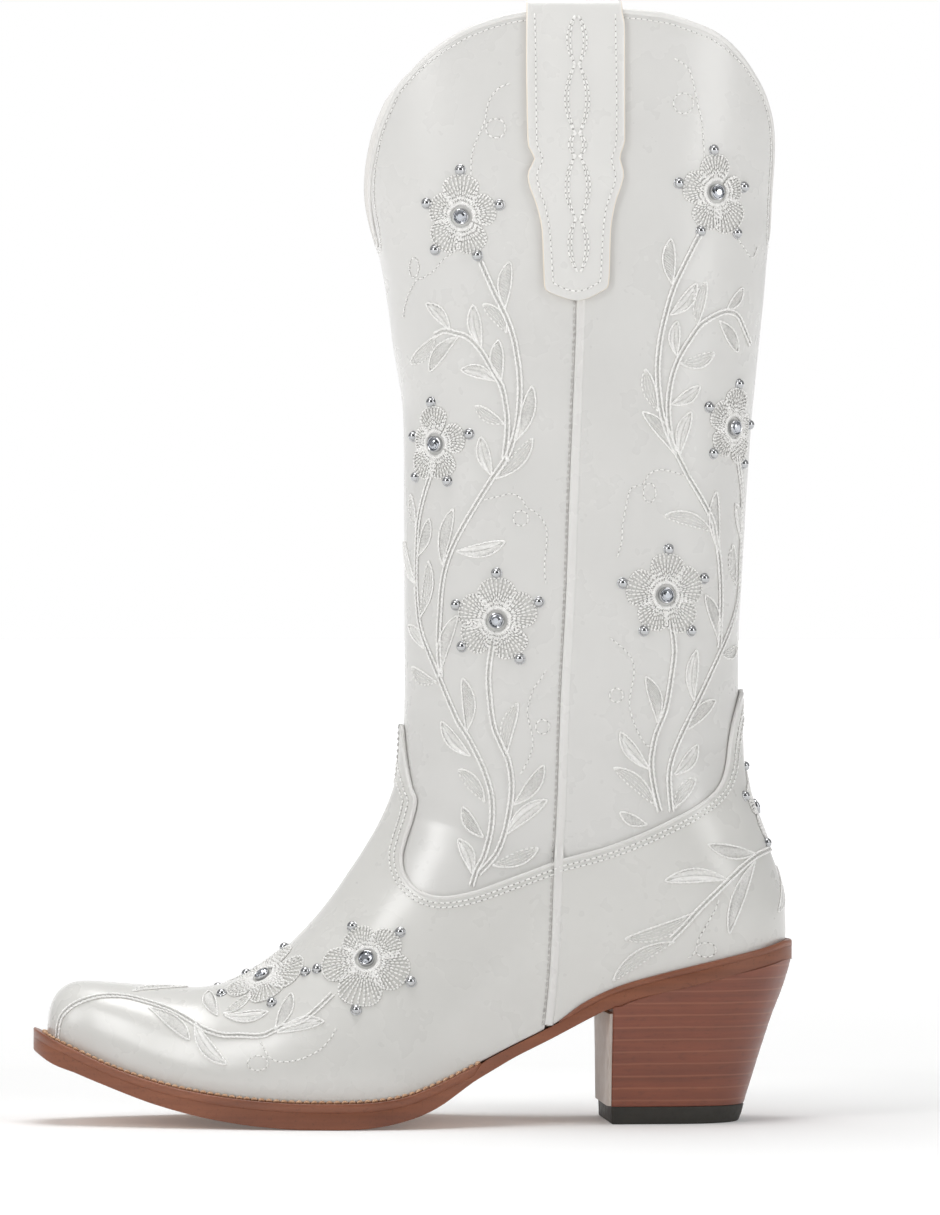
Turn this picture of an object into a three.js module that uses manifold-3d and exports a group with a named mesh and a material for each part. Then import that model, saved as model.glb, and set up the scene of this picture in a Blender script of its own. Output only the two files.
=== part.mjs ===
// Left cowboy boot, women's, pull-on, with a snip toe and a stacked block heel.
// Frame: millimetres, +Z up, toe towards -X, outer (lateral) side towards -Y.
// Origin: centre of the footprint's bounding box, on the ground.
//
// The upper is built on one last surface S0. Every station of it is a section line in the side plane,
// from the front/instep profile (t = 0) to the back/foot line (t = 1): level lines in the shaft,
// a fan about a pivot in front of the ankle, and upright lines in the forefoot.
// Leather layers are offsets of S0: outer layer (vamp, counter), middle layer (shaft panels, stiffeners), lining.
import * as THREE from 'three';
import Module from 'manifold-3d';
import { mergeVertices } from 'three/addons/utils/BufferGeometryUtils.js';

const wasm = await Module();
wasm.setup();

// ---------- driving dimensions (mm) ----------
const GAP = 0.3;
const OUTER = [0.3, 1.6];      // vamp and counter leather
const MIDDLE = [-1.4, 0.0];    // shaft panels, toe puff, heel stiffener
const INNER = [-2.9, -1.7];    // linings
const TOP_LIFT = 6.6;          // rubber top lift thickness
const WELT_T = 3.0;            // welt thickness
const WELT_END = 19;           // X where the welt stops
const HEEL_BREAST_X = 72.5;
const SOLE_T_HEEL = 5.2;
const PIVOT = [-74.4, 141.3];  // centre of the fan of sections
const TIP_X = -135.4;          // toe end of the foot line
const TOP_Z = 420;
const HEEL_PHI = 19.44;        // fan angle at the lower end of the heel's back seam
const SEAM_HALF = 1.1;         // clear half width of the side seam
const STUD_R = 1.9;
const CUP_R = 3.0;
const Y_SHIFT = 0.169;         // footprint centre to the origin
const X_SHIFT = -0.589;

// ---------- profiles in the side plane (X, Z) ----------
const FRONT = [[-22.6, 421], [-22.2, 400], [-21.6, 380], [-21.1, 367], [-20.5, 357.5], [-19.3, 348.5], [-17.4, 340.5], [-14.9, 332.5], [-12.7, 325], [-11.2, 318], [-9.6, 308.5], [-7.42, 291.62], [-5.54, 280.35], [-3.84, 269.08], [-3.28, 252.18], [-3.28, 233.39], [-3.09, 210.85], [-3.09, 184.55], [-3.09, 162.0], [-3.28, 152.61], [-3.65, 143.22], [-4.22, 134.95], [-5.16, 127.44], [-6.86, 121.81], [-9.12, 116.18], [-11.94, 110.36], [-15.33, 104.55], [-18.9, 98.74], [-22.85, 92.93], [-26.62, 87.3], [-30.75, 81.69], [-35.27, 76.07], [-40.53, 70.27], [-46.16, 64.85], [-52.55, 59.81], [-58.93, 55.52], [-65.32, 52.36], [-71.7, 50.32], [-77.7, 49.22], [-83.7, 48.95], [-90.07, 49.2], [-102.06, 49.96], [-113.66, 50.87], [-121.5, 51.35], [-126.5, 51.0], [-129.75, 49.6], [-132.55, 46.83], [-134.42, 42.53], [-135.24, 37.11], [-135.4, 33.0]];
const BACK = [[141.59, 420.33], [140.83, 399.57], [139.7, 376.93], [138.56, 365.61], [137.04, 354.28], [135.52, 342.96], [134.5, 331.63], [133.5, 321.07], [132.48, 308.99], [131.34, 297.67], [130.2, 286.35], [129.06, 275.04], [127.93, 263.72], [127.17, 252.4], [126.41, 241.09], [125.65, 229.77], [125.1, 218.46], [124.4, 207.14], [123.75, 195.83], [123.18, 184.52], [122.99, 173.2], [122.99, 161.89], [123.18, 150.58], [123.37, 141.15], [123.75, 133.6], [124.51, 127.95], [125.65, 122.29], [127.55, 116.63], [129.82, 110.96], [131.91, 105.3], [134.0, 99.64], [136.09, 93.97], [137.61, 88.31], [138.75, 82.65], [139.13, 76.98], [139.13, 71.33], [138.75, 66.04]];
// foot line: where the upper meets the sole, (X, Z)
const FOOT = [[133.7, 64.6], [129.08, 63.5], [117.55, 60.96], [106.05, 58.37], [94.6, 55.6], [83.2, 52.6], [78.02, 51.1], [72.06, 49.0], [66.13, 46.3], [60.13, 43.1], [52.96, 39.2], [46.95, 36.1], [42.12, 33.7], [36.1, 30.9], [26.94, 26.4], [19.67, 22.9], [7.25, 17.15], [0.9, 14.6], [-5.1, 12.6], [-11.1, 11.3], [-19.99, 10.3], [-28.84, 10.0], [-37.64, 9.95], [-46.41, 10.1], [-55.2, 10.5], [-63.95, 11.2], [-73.64, 12.3], [-79.45, 13.2], [-85.29, 14.2], [-91.1, 15.4], [-96.96, 16.9], [-102.77, 18.6], [-108.59, 20.5], [-114.45, 22.7], [-120.28, 25.2], [-126.13, 27.9], [-131.96, 30.6], [-135.4, 32.2]];
const SOLE_BOTTOM = [[-142.74, 28.9], [-134.97, 23.4], [-126.23, 19.2], [-117.49, 15.7], [-108.7, 12.3], [-99.97, 9.2], [-91.24, 6.7], [-82.52, 4.6], [-73.8, 2.95], [-63.32, 1.45], [-54, 0.6], [-46.61, 0.15], [-34.91, 0.0], [-23.19, 0.25], [-14.28, 1.3], [-5.36, 3.3], [0.63, 5.3], [6.98, 8.3], [12.5, 11.9], [19.99, 17.0], [27.5, 21.2], [35.79, 25.8], [47.84, 31.6], [59.79, 37.9], [67.58, 41.9], [72.0, 43.8]];
const SEAM = [[57.3, 420], [57.5, 381], [57.9, 344], [58.5, 307.2], [57.1, 262.7], [56, 232.9], [54.8, 195.8], [53, 158.6], [51.9, 121.5], [50.75, 98.5], [49.3, 65.8], [48.1, 47.2], [47, 36.0], [46.6, 30]];
const TOPLINE = [[-13.6, 329.6], [-15.1, 333.99], [-16.6, 340.67], [-17.45, 348.1], [-17.1, 357.39], [-15.48, 366.68], [-13.24, 374.5], [-8.77, 384.93], [-3.93, 391.27], [0.54, 396.32], [6.88, 401.74], [15.83, 407.19], [24.78, 410.78], [32.25, 412.87], [40.47, 414.23], [52.8, 415.3], [67.76, 415.4], [82.73, 414.69], [94.34, 413.0], [109.72, 407.97], [117.97, 402.43], [123.22, 396.86], [127.35, 391.29], [130.73, 385.71], [132.99, 380.13], [134.5, 374.54], [135.24, 367.45], [135.3, 360.74], [134.95, 353.27], [134.6, 345.0], [134.5, 338.0], [134.2, 332.0]];
const VAMP_EDGE = [[-3.28, 149.2], [-3.0, 146], [-2.6, 140], [-1.8, 132.5], [-0.6, 125.5], [0.7, 120.5], [-0.9, 113.5], [-3.3, 106.4], [-5.0, 100.1], [-4.7, 94.5], [-2.2, 89.7], [2.4, 86.3], [8.38, 85.0], [15.85, 85.9], [23.33, 87.9], [30.81, 90.7], [38.29, 93.5], [45.77, 96.3], [50.8, 98.3]];
const COUNTER_EDGE = [[50.8, 98.6], [60.47, 101.0], [67.95, 103.0], [79.19, 107.0], [90.44, 111.9], [101.69, 117.4], [109.2, 122.3], [113.7, 127.5], [115.95, 134.2], [117.0, 141.7], [118.5, 149.5], [121.0, 157.5], [123.02, 162.2]];

// half widths of the foot line from the last's centre line, by X
const W_LAT = [[-135.4, 12.5], [-126.8, 15.8], [-117.4, 20.5], [-98.7, 28], [-79.95, 34.5], [-61.2, 39.5], [-42.4, 43], [-25.5, 44.5], [-8.55, 43.5], [6.5, 40], [21.6, 35.5], [36.7, 31.8], [51.8, 29.6], [66.9, 29.2], [85.85, 30], [108.6, 31], [123.75, 30.8], [139, 30.5]];
const W_MED = [[-135.4, 12.5], [-126.8, 15.8], [-117.4, 20.5], [-98.7, 29], [-79.95, 36], [-61.2, 41], [-46.2, 43.5], [-31.1, 44], [-16.1, 41.7], [-1, 37], [14, 31.6], [29.2, 27.6], [44.25, 26], [59.4, 26.8], [74.5, 28.5], [93.4, 30], [108.6, 31], [123.75, 30.8], [139, 30.5]];
const CENTRE_Y = [[-143, 6.5], [-120, 5.4], [-100, 4.0], [-75, 2.1], [-50, 0.7], [-25, 0], [0, 0], [150, 0]];
const W_SHAFT = [[141.3, 34.6], [160, 35.2], [185, 36.2], [215, 37], [250, 37.8], [290, 38.8], [325, 40], [360, 41.3], [400, 42.4], [425, 42.8]];
const W_FAN = [[0, 34.6], [8, 34], [16, 33.3], [24, 33.2], [32, 34], [45, 36.8], [60, 42.3]];
const RIDGE = [[0, 0.5], [10, 0.47], [20, 0.46], [30, 0.55], [45, 0.68], [60, 0.79], [75, 0.84], [90, 0.85]];
const HEEL_R = [[50, 36], [66, 36], [80, 38], [100, 44], [120, 52], [141.3, 63.5]];

// ---------- small maths ----------
const clamp = (x, a, b) => Math.min(b, Math.max(a, x));
const lerp = (a, b, t) => a + (b - a) * t;
const smooth = (a, b, x) => { const t = clamp((x - a) / (b - a), 0, 1); return t * t * (3 - 2 * t); };
function table(T) {           // monotone-in-x smooth interpolation
  const s = [...T].sort((a, b) => a[0] - b[0]);
  const n = s.length;
  const m = s.map((p, i) => {
    if (i === 0) return (s[1][1] - s[0][1]) / (s[1][0] - s[0][0]);
    if (i === n - 1) return (s[n - 1][1] - s[n - 2][1]) / (s[n - 1][0] - s[n - 2][0]);
    const a = (s[i][1] - s[i - 1][1]) / (s[i][0] - s[i - 1][0]);
    const b = (s[i + 1][1] - s[i][1]) / (s[i + 1][0] - s[i][0]);
    return a * b <= 0 ? 0 : 2 * a * b / (a + b);
  });
  return (x) => {
    if (x <= s[0][0]) return s[0][1];
    if (x >= s[n - 1][0]) return s[n - 1][1];
    let i = 0;
    while (s[i + 1][0] < x) i++;
    const h = s[i + 1][0] - s[i][0], t = (x - s[i][0]) / h;
    const t2 = t * t, t3 = t2 * t;
    return (2 * t3 - 3 * t2 + 1) * s[i][1] + (t3 - 2 * t2 + t) * h * m[i] + (-2 * t3 + 3 * t2) * s[i + 1][1] + (t3 - t2) * h * m[i + 1];
  };
}
function curve(P, per = 8) {  // Catmull-Rom through the points
  const out = [];
  for (let i = 0; i < P.length - 1; i++) {
    const a = P[Math.max(0, i - 1)], b = P[i], c = P[i + 1], d = P[Math.min(P.length - 1, i + 2)];
    for (let k = 0; k < per; k++) {
      const t = k / per, t2 = t * t, t3 = t2 * t;
      out.push([0, 1].map(j => 0.5 * (2 * b[j] + (c[j] - a[j]) * t + (2 * a[j] - 5 * b[j] + 4 * c[j] - d[j]) * t2 + (3 * b[j] - a[j] - 3 * c[j] + d[j]) * t3)));
    }
  }
  out.push(P[P.length - 1]);
  return out;
}
function along(P) {           // arc length parametrisation, 0..1
  const L = [0];
  for (let i = 1; i < P.length; i++) L.push(L[i - 1] + Math.hypot(P[i][0] - P[i - 1][0], P[i][1] - P[i - 1][1]));
  return (u) => {
    const s = clamp(u, 0, 1) * L[L.length - 1];
    let i = 0;
    while (i < L.length - 2 && L[i + 1] < s) i++;
    const t = (s - L[i]) / (L[i + 1] - L[i] || 1);
    return [lerp(P[i][0], P[i + 1][0], t), lerp(P[i][1], P[i + 1][1], t)];
  };
}

const frontLine = curve(FRONT), backLine = curve(BACK), footLine = curve(FOOT);
const outerLine = backLine.concat(footLine);
const wLat = table(W_LAT), wMed = table(W_MED), centreY = table(CENTRE_Y), wShaft = table(W_SHAFT), wFan = table(W_FAN), ridge = table(RIDGE), heelR = table(HEEL_R);
const footZ = table(FOOT), soleZ = table(SOLE_BOTTOM);
const atZ = (line) => table(line.filter((p, i) => i % 4 === 0).map(p => [p[1], p[0]]));
const backX = atZ(backLine), frontX = atZ(frontLine.filter(p => p[1] > 60));
const seamX = table(SEAM.map(p => [p[1], p[0]]));
const backXz = (z) => z < 66.04 ? 139 : backX(z);

const seatZ = (x) => x > 133.7 ? lerp(64.6, 66.04, clamp((x - 133.7) / 5.05, 0, 1)) : footZ(Math.max(x, TIP_X));

function hit(line, O, d, last) {   // distance along the ray O + r d to the polyline
  let best = null;
  for (let i = 0; i < line.length - 1; i++) {
    const ax = line[i][0] - O[0], az = line[i][1] - O[1], bx = line[i + 1][0] - O[0], bz = line[i + 1][1] - O[1];
    const ca = ax * d[1] - az * d[0], cb = bx * d[1] - bz * d[0];
    if ((ca > 0) === (cb > 0) && ca !== 0 && cb !== 0) continue;
    const t = ca / (ca - cb || 1e-12);
    const r = (ax + (bx - ax) * t) * d[0] + (az + (bz - az) * t) * d[1];
    if (r < 0) continue;
    if (best === null || (last ? r > best : r < best)) best = r;
  }
  return best;
}
function station(s) {              // s: 0..1 shaft, 1..2 fan, 2..3 forefoot
  if (s <= 1) return { O: [PIVOT[0], lerp(TOP_Z, PIVOT[1], s)], d: [1, 0], phi: 0 };
  if (s <= 2) { const a = (s - 1) * Math.PI / 2; return { O: PIVOT, d: [Math.cos(a), -Math.sin(a)], phi: (s - 1) * 90 }; }
  const x = PIVOT[0] + (TIP_X - PIVOT[0]) * Math.sin(Math.min(1, s - 2) * Math.PI / 2);
  return { O: [x, PIVOT[1]], d: [0, -1], phi: 90 };
}
const cache = new Map();
function line(s) {
  const key = Math.round(s * 1e5);
  if (cache.has(key)) return cache.get(key);
  const st = station(s);
  const ra = hit(frontLine, st.O, st.d, false) ?? 107.9, rb = hit(outerLine, st.O, st.d, true) ?? 109.5;
  const A = [st.O[0] + ra * st.d[0], st.O[1] + ra * st.d[1]], B = [st.O[0] + rb * st.d[0], st.O[1] + rb * st.d[1]];
  const spread = 1 - 0.5 * smooth(14, 45, st.phi);
  const value = { A, B, phi: st.phi, spread, s, k: ridge(st.phi) };
  cache.set(key, value);
  return value;
}
const toeRound = (x) => { const q = clamp((x - TIP_X) / 7.5, 0, 1); return Math.pow(Math.max(1 - Math.pow(1 - q, 2.6), 0), 1 / 2.6); };
const heelRound = (x, z) => {
  const half = z >= PIVOT[1] ? (backXz(z) - frontX(z)) / 2 : heelR(z);
  const q = clamp((backXz(z) - x) / half, 0, 1);
  const n = 2.15;
  return Math.pow(Math.max(1 - Math.pow(1 - q, n), 0), 1 / n);
};
function halfWidth(L, tau, x, z, side) {
  const wf = side < 0 ? wLat : wMed;
  let W, n, m;
  const foot = wf(L.B[0]);
  if (L.s <= 1) { W = wShaft(z); n = lerp(2.15, 2.3, smooth(300, 400, z)); m = n; }
  else {
    W = L.phi < 60 ? lerp(wFan(L.phi), foot * 1.015, smooth(48, 60, L.phi)) : foot * 1.015;
    n = lerp(2.15, 2.0, smooth(5, 40, L.phi)); m = lerp(2.15, 1.8, smooth(5, 40, L.phi));
    if (L.s > 2) { n = lerp(2.0, 2.4, smooth(-85, -115, x)); m = lerp(1.8, 2.2, smooth(-85, -115, x)); }
  }
  const q = clamp(tau / L.k, 0, 1);
  const dome = Math.pow(Math.max(1 - Math.pow(1 - q, n), 0), 1 / m);
  const below = smooth(14, 24, L.phi) * smooth(0, 1, (tau - L.k) / (1 - L.k));
  return W * dome * lerp(1, foot / W, below) * heelRound(x, z) * toeRound(x);
}
function S0(s, t, side) {          // point on the last surface
  if (t < 0) return S0(s, -t, -side);
  const L = line(s);
  if (t > 1 && L.phi < HEEL_PHI) return S0(s, 2 - t, -side);
  const c = Math.PI * L.spread, tau = (1 - Math.cos(c * t)) / (1 - Math.cos(c));
  const x = lerp(L.A[0], L.B[0], tau), z = lerp(L.A[1], L.B[1], tau);
  return [x, centreY(x) + side * halfWidth(L, Math.min(tau, 1), x, z, side), z];
}
function toST(x, z) {              // side plane point to (s, t)
  let s;
  if (z >= PIVOT[1]) s = (TOP_Z - z) / (TOP_Z - PIVOT[1]);
  else if (x > PIVOT[0]) s = 1 + Math.atan2(PIVOT[1] - z, x - PIVOT[0]) / (Math.PI / 2);
  else s = 2 + Math.asin(clamp((x - PIVOT[0]) / (TIP_X - PIVOT[0]), 0, 1)) / (Math.PI / 2);
  const L = line(s);
  const dx = L.B[0] - L.A[0], dz = L.B[1] - L.A[1];
  const tau = clamp(((x - L.A[0]) * dx + (z - L.A[1]) * dz) / (dx * dx + dz * dz), 0, 1);
  const c = Math.PI * L.spread;
  return [s, Math.acos(clamp(1 - tau * (1 - Math.cos(c)), -1, 1)) / c];
}
const sub = (a, b) => [a[0] - b[0], a[1] - b[1], a[2] - b[2]];
const add = (a, b, k = 1) => [a[0] + b[0] * k, a[1] + b[1] * k, a[2] + b[2] * k];
const cross = (a, b) => [a[1] * b[2] - a[2] * b[1], a[2] * b[0] - a[0] * b[2], a[0] * b[1] - a[1] * b[0]];
const norm = (a) => { const l = Math.hypot(...a) || 1; return [a[0] / l, a[1] / l, a[2] / l]; };
function normalAt(s, t, side) {
  const h = 2e-3, e = 4e-3;
  const s0 = Math.max(0, s - h), s1 = Math.min(2.999, s + h);
  const foot = line(s).phi >= HEEL_PHI;
  const t1 = foot ? Math.min(1, t + e) : t + e, t0 = t - e;
  const n = norm(cross(sub(S0(s1, t, side), S0(s0, t, side)), sub(S0(s, t1, side), S0(s, t0, side))));
  const c = line(s);
  const centre = [lerp(c.A[0], c.B[0], 0.5), centreY(lerp(c.A[0], c.B[0], 0.5)), lerp(c.A[1], c.B[1], 0.5)];
  const p = S0(s, t, side);
  const dot = n[0] * (p[0] - centre[0]) + n[1] * (p[1] - centre[1]) + n[2] * (p[2] - centre[2]);
  return dot < 0 ? [-n[0], -n[1], -n[2]] : n;
}
const offsetST = (s, t, side, o) => add(S0(s, t, side), normalAt(s, t, side), o);
const offsetXZ = (x, z, side, o) => { const [s, t] = toST(x, z); return offsetST(s, t, side, o); };

// ---------- solids ----------
const group = new THREE.Group();
const quad = (F, a, b, c, d) => { F.push([a, b, c], [a, c, d]); };
function volume(verts, faces) {
  let v = 0;
  for (const [a, b, c] of faces) { const A = verts[a], k = cross(verts[b], verts[c]); v += A[0] * k[0] + A[1] * k[1] + A[2] * k[2]; }
  return v / 6;
}
const outward = (verts, faces) => volume(verts, faces) < 0 ? faces.map(f => [f[0], f[2], f[1]]) : faces;
function geometry(V, F) {
  const g = new THREE.BufferGeometry();
  const pos = new Float32Array(F.length * 9);
  F.forEach((f, i) => f.forEach((k, j) => V[k].forEach((c, m) => { pos[i * 9 + j * 3 + m] = c; })));
  g.setAttribute('position', new THREE.BufferAttribute(pos, 3));
  return mergeVertices(g, 1e-4);
}
function solidOf(g) {
  return new wasm.Manifold(new wasm.Mesh({ numProp: 3, vertProperties: new Float32Array(g.attributes.position.array), triVerts: new Uint32Array(g.index.array) }));
}
const solid = (V, F) => solidOf(geometry(V, outward(V, F)));
// place a finished solid in the part as one named mesh
function place(name, m, colour, roughness = 0.5, metalness = 0) {
  const k = m.getMesh(), n = k.vertProperties.length / k.numProp, v = new Float32Array(n * 3);
  for (let i = 0; i < n; i++) {
    v[i * 3] = k.vertProperties[i * k.numProp] + X_SHIFT;
    v[i * 3 + 1] = k.vertProperties[i * k.numProp + 1] + Y_SHIFT;
    v[i * 3 + 2] = k.vertProperties[i * k.numProp + 2];
  }
  const g = new THREE.BufferGeometry();
  g.setAttribute('position', new THREE.BufferAttribute(v, 3));
  g.setIndex(new THREE.BufferAttribute(new Uint32Array(k.triVerts), 1));
  const mesh = new THREE.Mesh(g, new THREE.MeshStandardMaterial({ color: colour, roughness, metalness }));
  mesh.name = name;
  group.add(mesh);
}
const largest = (m) => m.decompose().sort((a, b) => b.volume() - a.volume())[0];
// everything behind a side-plane outline: a prism across the boot's whole width
function prism(P, y0 = -80, y1 = 80) {
  const g = new THREE.ExtrudeGeometry(new THREE.Shape(P.map(([x, z]) => new THREE.Vector2(x, z))), { depth: y1 - y0, bevelEnabled: false, curveSegments: 1 });
  g.deleteAttribute('normal'); g.deleteAttribute('uv');
  g.rotateX(Math.PI / 2);            // the outline's second axis becomes +Z, the depth runs along -Y
  g.translate(0, y1, 0);
  return solidOf(mergeVertices(g, 1e-5));
}
function cylinder(x, y, z0, z1, r, n = 12) {
  const g = new THREE.CylinderGeometry(r, r, z1 - z0, n);
  g.deleteAttribute('normal'); g.deleteAttribute('uv');
  g.rotateX(Math.PI / 2);
  g.translate(x, y, (z0 + z1) / 2);
  return solidOf(mergeVertices(g, 1e-5));
}

// rows of the last surface, the same for every layer, so that the layers stay parallel
const ROWS = [
  ...[420, 385, 358, 342, 328, 306, 270, 230, 180].map(z => (TOP_Z - z) / (TOP_Z - PIVOT[1])),
  ...[0, 9, 19.2, 19.8, 22.5, 26, 30, 34.5, 39.5, 45, 51, 58, 65, 73, 81, 90].map(a => 1 + a / 90),
  2.2, 2.38, 2.54, 2.68, 2.8, 2.88, 2.93,
];
const FOOT_CLEAR = 0.25;             // leather edges stay this far above the foot line
const NT = 8;                        // steps round each side
const layerCache = new Map();
function filled(o, drop) {           // the whole boot filled to offset o, its sole face lowered by drop
  const key = o + '/' + drop;
  if (layerCache.has(key)) return layerCache.get(key);
  const V = [], F = [], rows = [];
  ROWS.forEach((s) => {
    const open = line(s).phi >= HEEL_PHI, ids = [];
    for (const side of [-1, 1]) for (let k = 0; k <= NT; k++) {
      const t = (side < 0 ? k : NT - k) / NT;
      if (side > 0 && t === 0) { ids.push(ids[0]); continue; }
      if (side > 0 && t === 1 && !open) { ids.push(ids[ids.length - 1]); continue; }
      const p = offsetST(s, t, side, o);
      if (t === 0 || (t === 1 && !open)) p[1] = centreY(p[0]);
      if (t === 1 && open) p[2] = seatZ(p[0]) + FOOT_CLEAR;
      const skirt = [p[0], p[1], p[2] - drop], foot = t === 1 && open && drop > 0;
      if (foot && side > 0) { V.push(skirt); ids.push(V.length - 1); }
      V.push(p);
      ids.push(V.length - 1);
      if (foot && side < 0) { V.push(skirt); ids.push(V.length - 1); }
    }
    rows.push(ids);
  });
  const put = (a, b, c) => { if (a !== b && b !== c && a !== c) F.push([a, b, c]); };
  for (let j = 0; j < rows.length - 1; j++) {
    let p = rows[j], q = rows[j + 1];
    if (p.length < q.length) p = [...p.slice(0, NT + 1), p[NT], p[NT], ...p.slice(NT + 1)];   // closed heel back above the open foot
    for (let k = 0; k < q.length - 1; k++) { put(p[k], p[k + 1], q[k + 1]); put(p[k], q[k + 1], q[k]); }
  }
  for (const [ids, flip] of [[rows[0], true], [rows[rows.length - 1], false]]) {   // end caps, strip by strip
    const n = ids.length;
    for (let k = 0; k < n / 2 - 1; k++) {
      const a = ids[k], b = ids[k + 1], c = ids[n - 2 - k], d = ids[n - 1 - k];
      if (flip) { put(a, c, b); put(a, d, c); } else { put(a, b, c); put(a, c, d); }
    }
  }
  const m = solid(V, F);
  layerCache.set(key, m);
  return m;
}
const leather = ([o1, o2], region) => largest(filled(o2, 0).subtract(filled(o1, 5)).intersect(prism(region)));

// top edge in the side plane, moved inwards by d; a little less where it runs steeply round the two dips
function topEdge(d) {
  const P = TOPLINE;
  return P.map((p, i) => {
    if (i === 0 || i === P.length - 1) return [p[0] + (i ? -0.4 : 0.4) * d, p[1] - d];
    const dx = P[i + 1][0] - P[i - 1][0], dz = P[i + 1][1] - P[i - 1][1], l = Math.hypot(dx, dz);
    const k = d * (1 - 0.45 * smooth(0.5, 0.95, Math.abs(dz / l)));
    return [p[0] + k * dz / l, p[1] - k * dx / l];
  });
}
const splitAt = (P, dx) => {         // the part of an edge ahead of the seam line, and the part behind it
  const f = P.filter(p => p[0] < seamX(p[1]) - dx), b = P.filter(p => p[0] > seamX(p[1]) + dx);
  return [f, b];
};
const seamLine = (z0, z1, dx, n = 10) => Array.from({ length: n + 1 }, (_, k) => { const z = lerp(z0, z1, k / n); return [seamX(z) + dx, z]; });
const DROP = 1.9;                    // width of the top binding with its gap
const WHITE = 0xf0efeb, LINING = 0xe6ddd0, BROWN = 0x9a5f45, STIFF = 0xcfc6b6, STEEL = 0x9aa0a6;

// shaft panels
const [topF, topB] = splitAt(topEdge(DROP), SEAM_HALF + 0.4);
place('shaft_front_panel', leather(MIDDLE, [[-80, 131], [-80, topF[0][1]], ...topF, ...seamLine(topF[topF.length - 1][1] + 0.2, 86.5, -SEAM_HALF, 6),
  [46.5, 85.8], [30, 79], [12, 75], [0, 76], [-10, 82], [-15, 92], [-15, 104], [-12, 118], [-9.5, 131]]), WHITE);
place('shaft_back_panel', leather(MIDDLE, [...seamLine(86.8, topB[0][1] + 0.2, SEAM_HALF, 6), ...topB, [220, topB[topB.length - 1][1]], [220, 130], [118, 130], [112, 122], [104, 111], [90, 100], [68, 91]]), WHITE);
// shaft linings
const [linF, linB] = splitAt(topEdge(DROP), 0.6);
place('shaft_front_lining', leather(INNER, [[-80, 123.8], [-80, linF[0][1]], ...linF, ...seamLine(linF[linF.length - 1][1] + 0.2, 100.0, -0.3, 6), [30, 108.6], [10, 118.1], [-5.4, 123.8]]), LINING);
place('shaft_back_lining', leather(INNER, [...seamLine(99.8, linB[0][1] + 0.2, 0.3, 6), ...linB, [220, linB[linB.length - 1][1]], [220, 121.9], [126, 121.9], [110, 117.6], [90, 111.6], [70, 105.4]]), LINING);
// top binding
{
  const outer = topEdge(0), inner = topEdge(DROP - GAP);
  const ring = filled(0, 0).subtract(filled(INNER[0], 5)).intersect(prism([[-80, inner[0][1]], [-80, outer[0][1]], ...outer, [220, outer[outer.length - 1][1]], [220, inner[inner.length - 1][1]], ...inner.reverse()]));
  place('top_binding', largest(ring), WHITE);
}
// foot: vamp, counter, linings and stiffeners
const vampEdge = VAMP_EDGE, counterEdge = COUNTER_EDGE;
place('vamp', leather(OUTER, [[-200, 149.2], ...vampEdge.filter(p => p[0] < seamX(p[1]) - SEAM_HALF - 0.3), ...seamLine(98.0, 30, -SEAM_HALF, 5), [44, -20], [-200, -20]]), WHITE);
place('heel_counter', leather(OUTER, [...seamLine(30, 98.5, SEAM_HALF, 5), ...counterEdge.filter(p => p[0] > seamX(p[1]) + SEAM_HALF + 0.3), [220, 162.2], [220, -20], [48, -20]]), WHITE);
place('vamp_lining', leather(INNER, [[-200, 123.4], [-5.4, 123.4], [10, 117.6], [30, 108.1], ...seamLine(99.5, 30, -0.3, 5), [44, -20], [-200, -20]]), LINING);
place('heel_lining', leather(INNER, [...seamLine(30, 99.3, 0.3, 5), [70, 104.9], [90, 111.1], [110, 117.1], [126, 121.4], [220, 121.4], [220, -20], [48, -20]]), LINING);
place('toe_puff', leather(MIDDLE, [[-200, 80], [-84, 80], [-80, 40], [-84, -20], [-200, -20]]), STIFF);
place('heel_stiffener', leather(MIDDLE, [[76, 20], [76, 76], [82, 80], [100, 88], [112, 94], [124, 99], [220, 102], [220, 20]]), STIFF);

// a band swept along the leather: rows of (x, z, offset, half width) with a section in (along, offset)
function band(rows, section) {
  const V = [], F = [], m = section.length;
  rows.forEach(({ p, n, tx }) => section.forEach(([a, b]) => V.push(add(add(p, tx, a), n, b))));
  for (let k = 0; k < rows.length - 1; k++) for (let i = 0; i < m; i++) quad(F, k * m + i, k * m + (i + 1) % m, (k + 1) * m + (i + 1) % m, (k + 1) * m + i);
  const e = (rows.length - 1) * m;
  for (let i = 1; i < m - 1; i++) { F.push([0, i + 1, i]); F.push([e, e + i, e + i + 1]); }
  return solid(V, F);
}
// side piping: a raised strip in the side seam, standing in the shaft's seam above and on the shaft panels' edges below
function piping(side) {
  const rows = [];
  for (const z of [412.6, 380, 340, 300, 262, 225, 190, 155, 141, 128, 116, 107.5, 99.2, 88, 76, 64, 52, 44, 37.5]) {
    const x = seamX(z), [s, t] = toST(x, z), n = normalAt(s, t, side), lift = lerp(0, 1.55, smooth(107.6, 99.1, z));
    rows.push({ p: add(S0(s, t, side), n, lift), n, tx: norm([n[1] * side, -n[0] * side, 0]) });
  }
  return band(rows, [[-0.75, -1.2], [-0.75, 0.35], [0, 0.8], [0.75, 0.35], [0.75, -1.2]]);
}
place('side_piping_outer', piping(-1), WHITE);
place('side_piping_inner', piping(1), WHITE);

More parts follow.
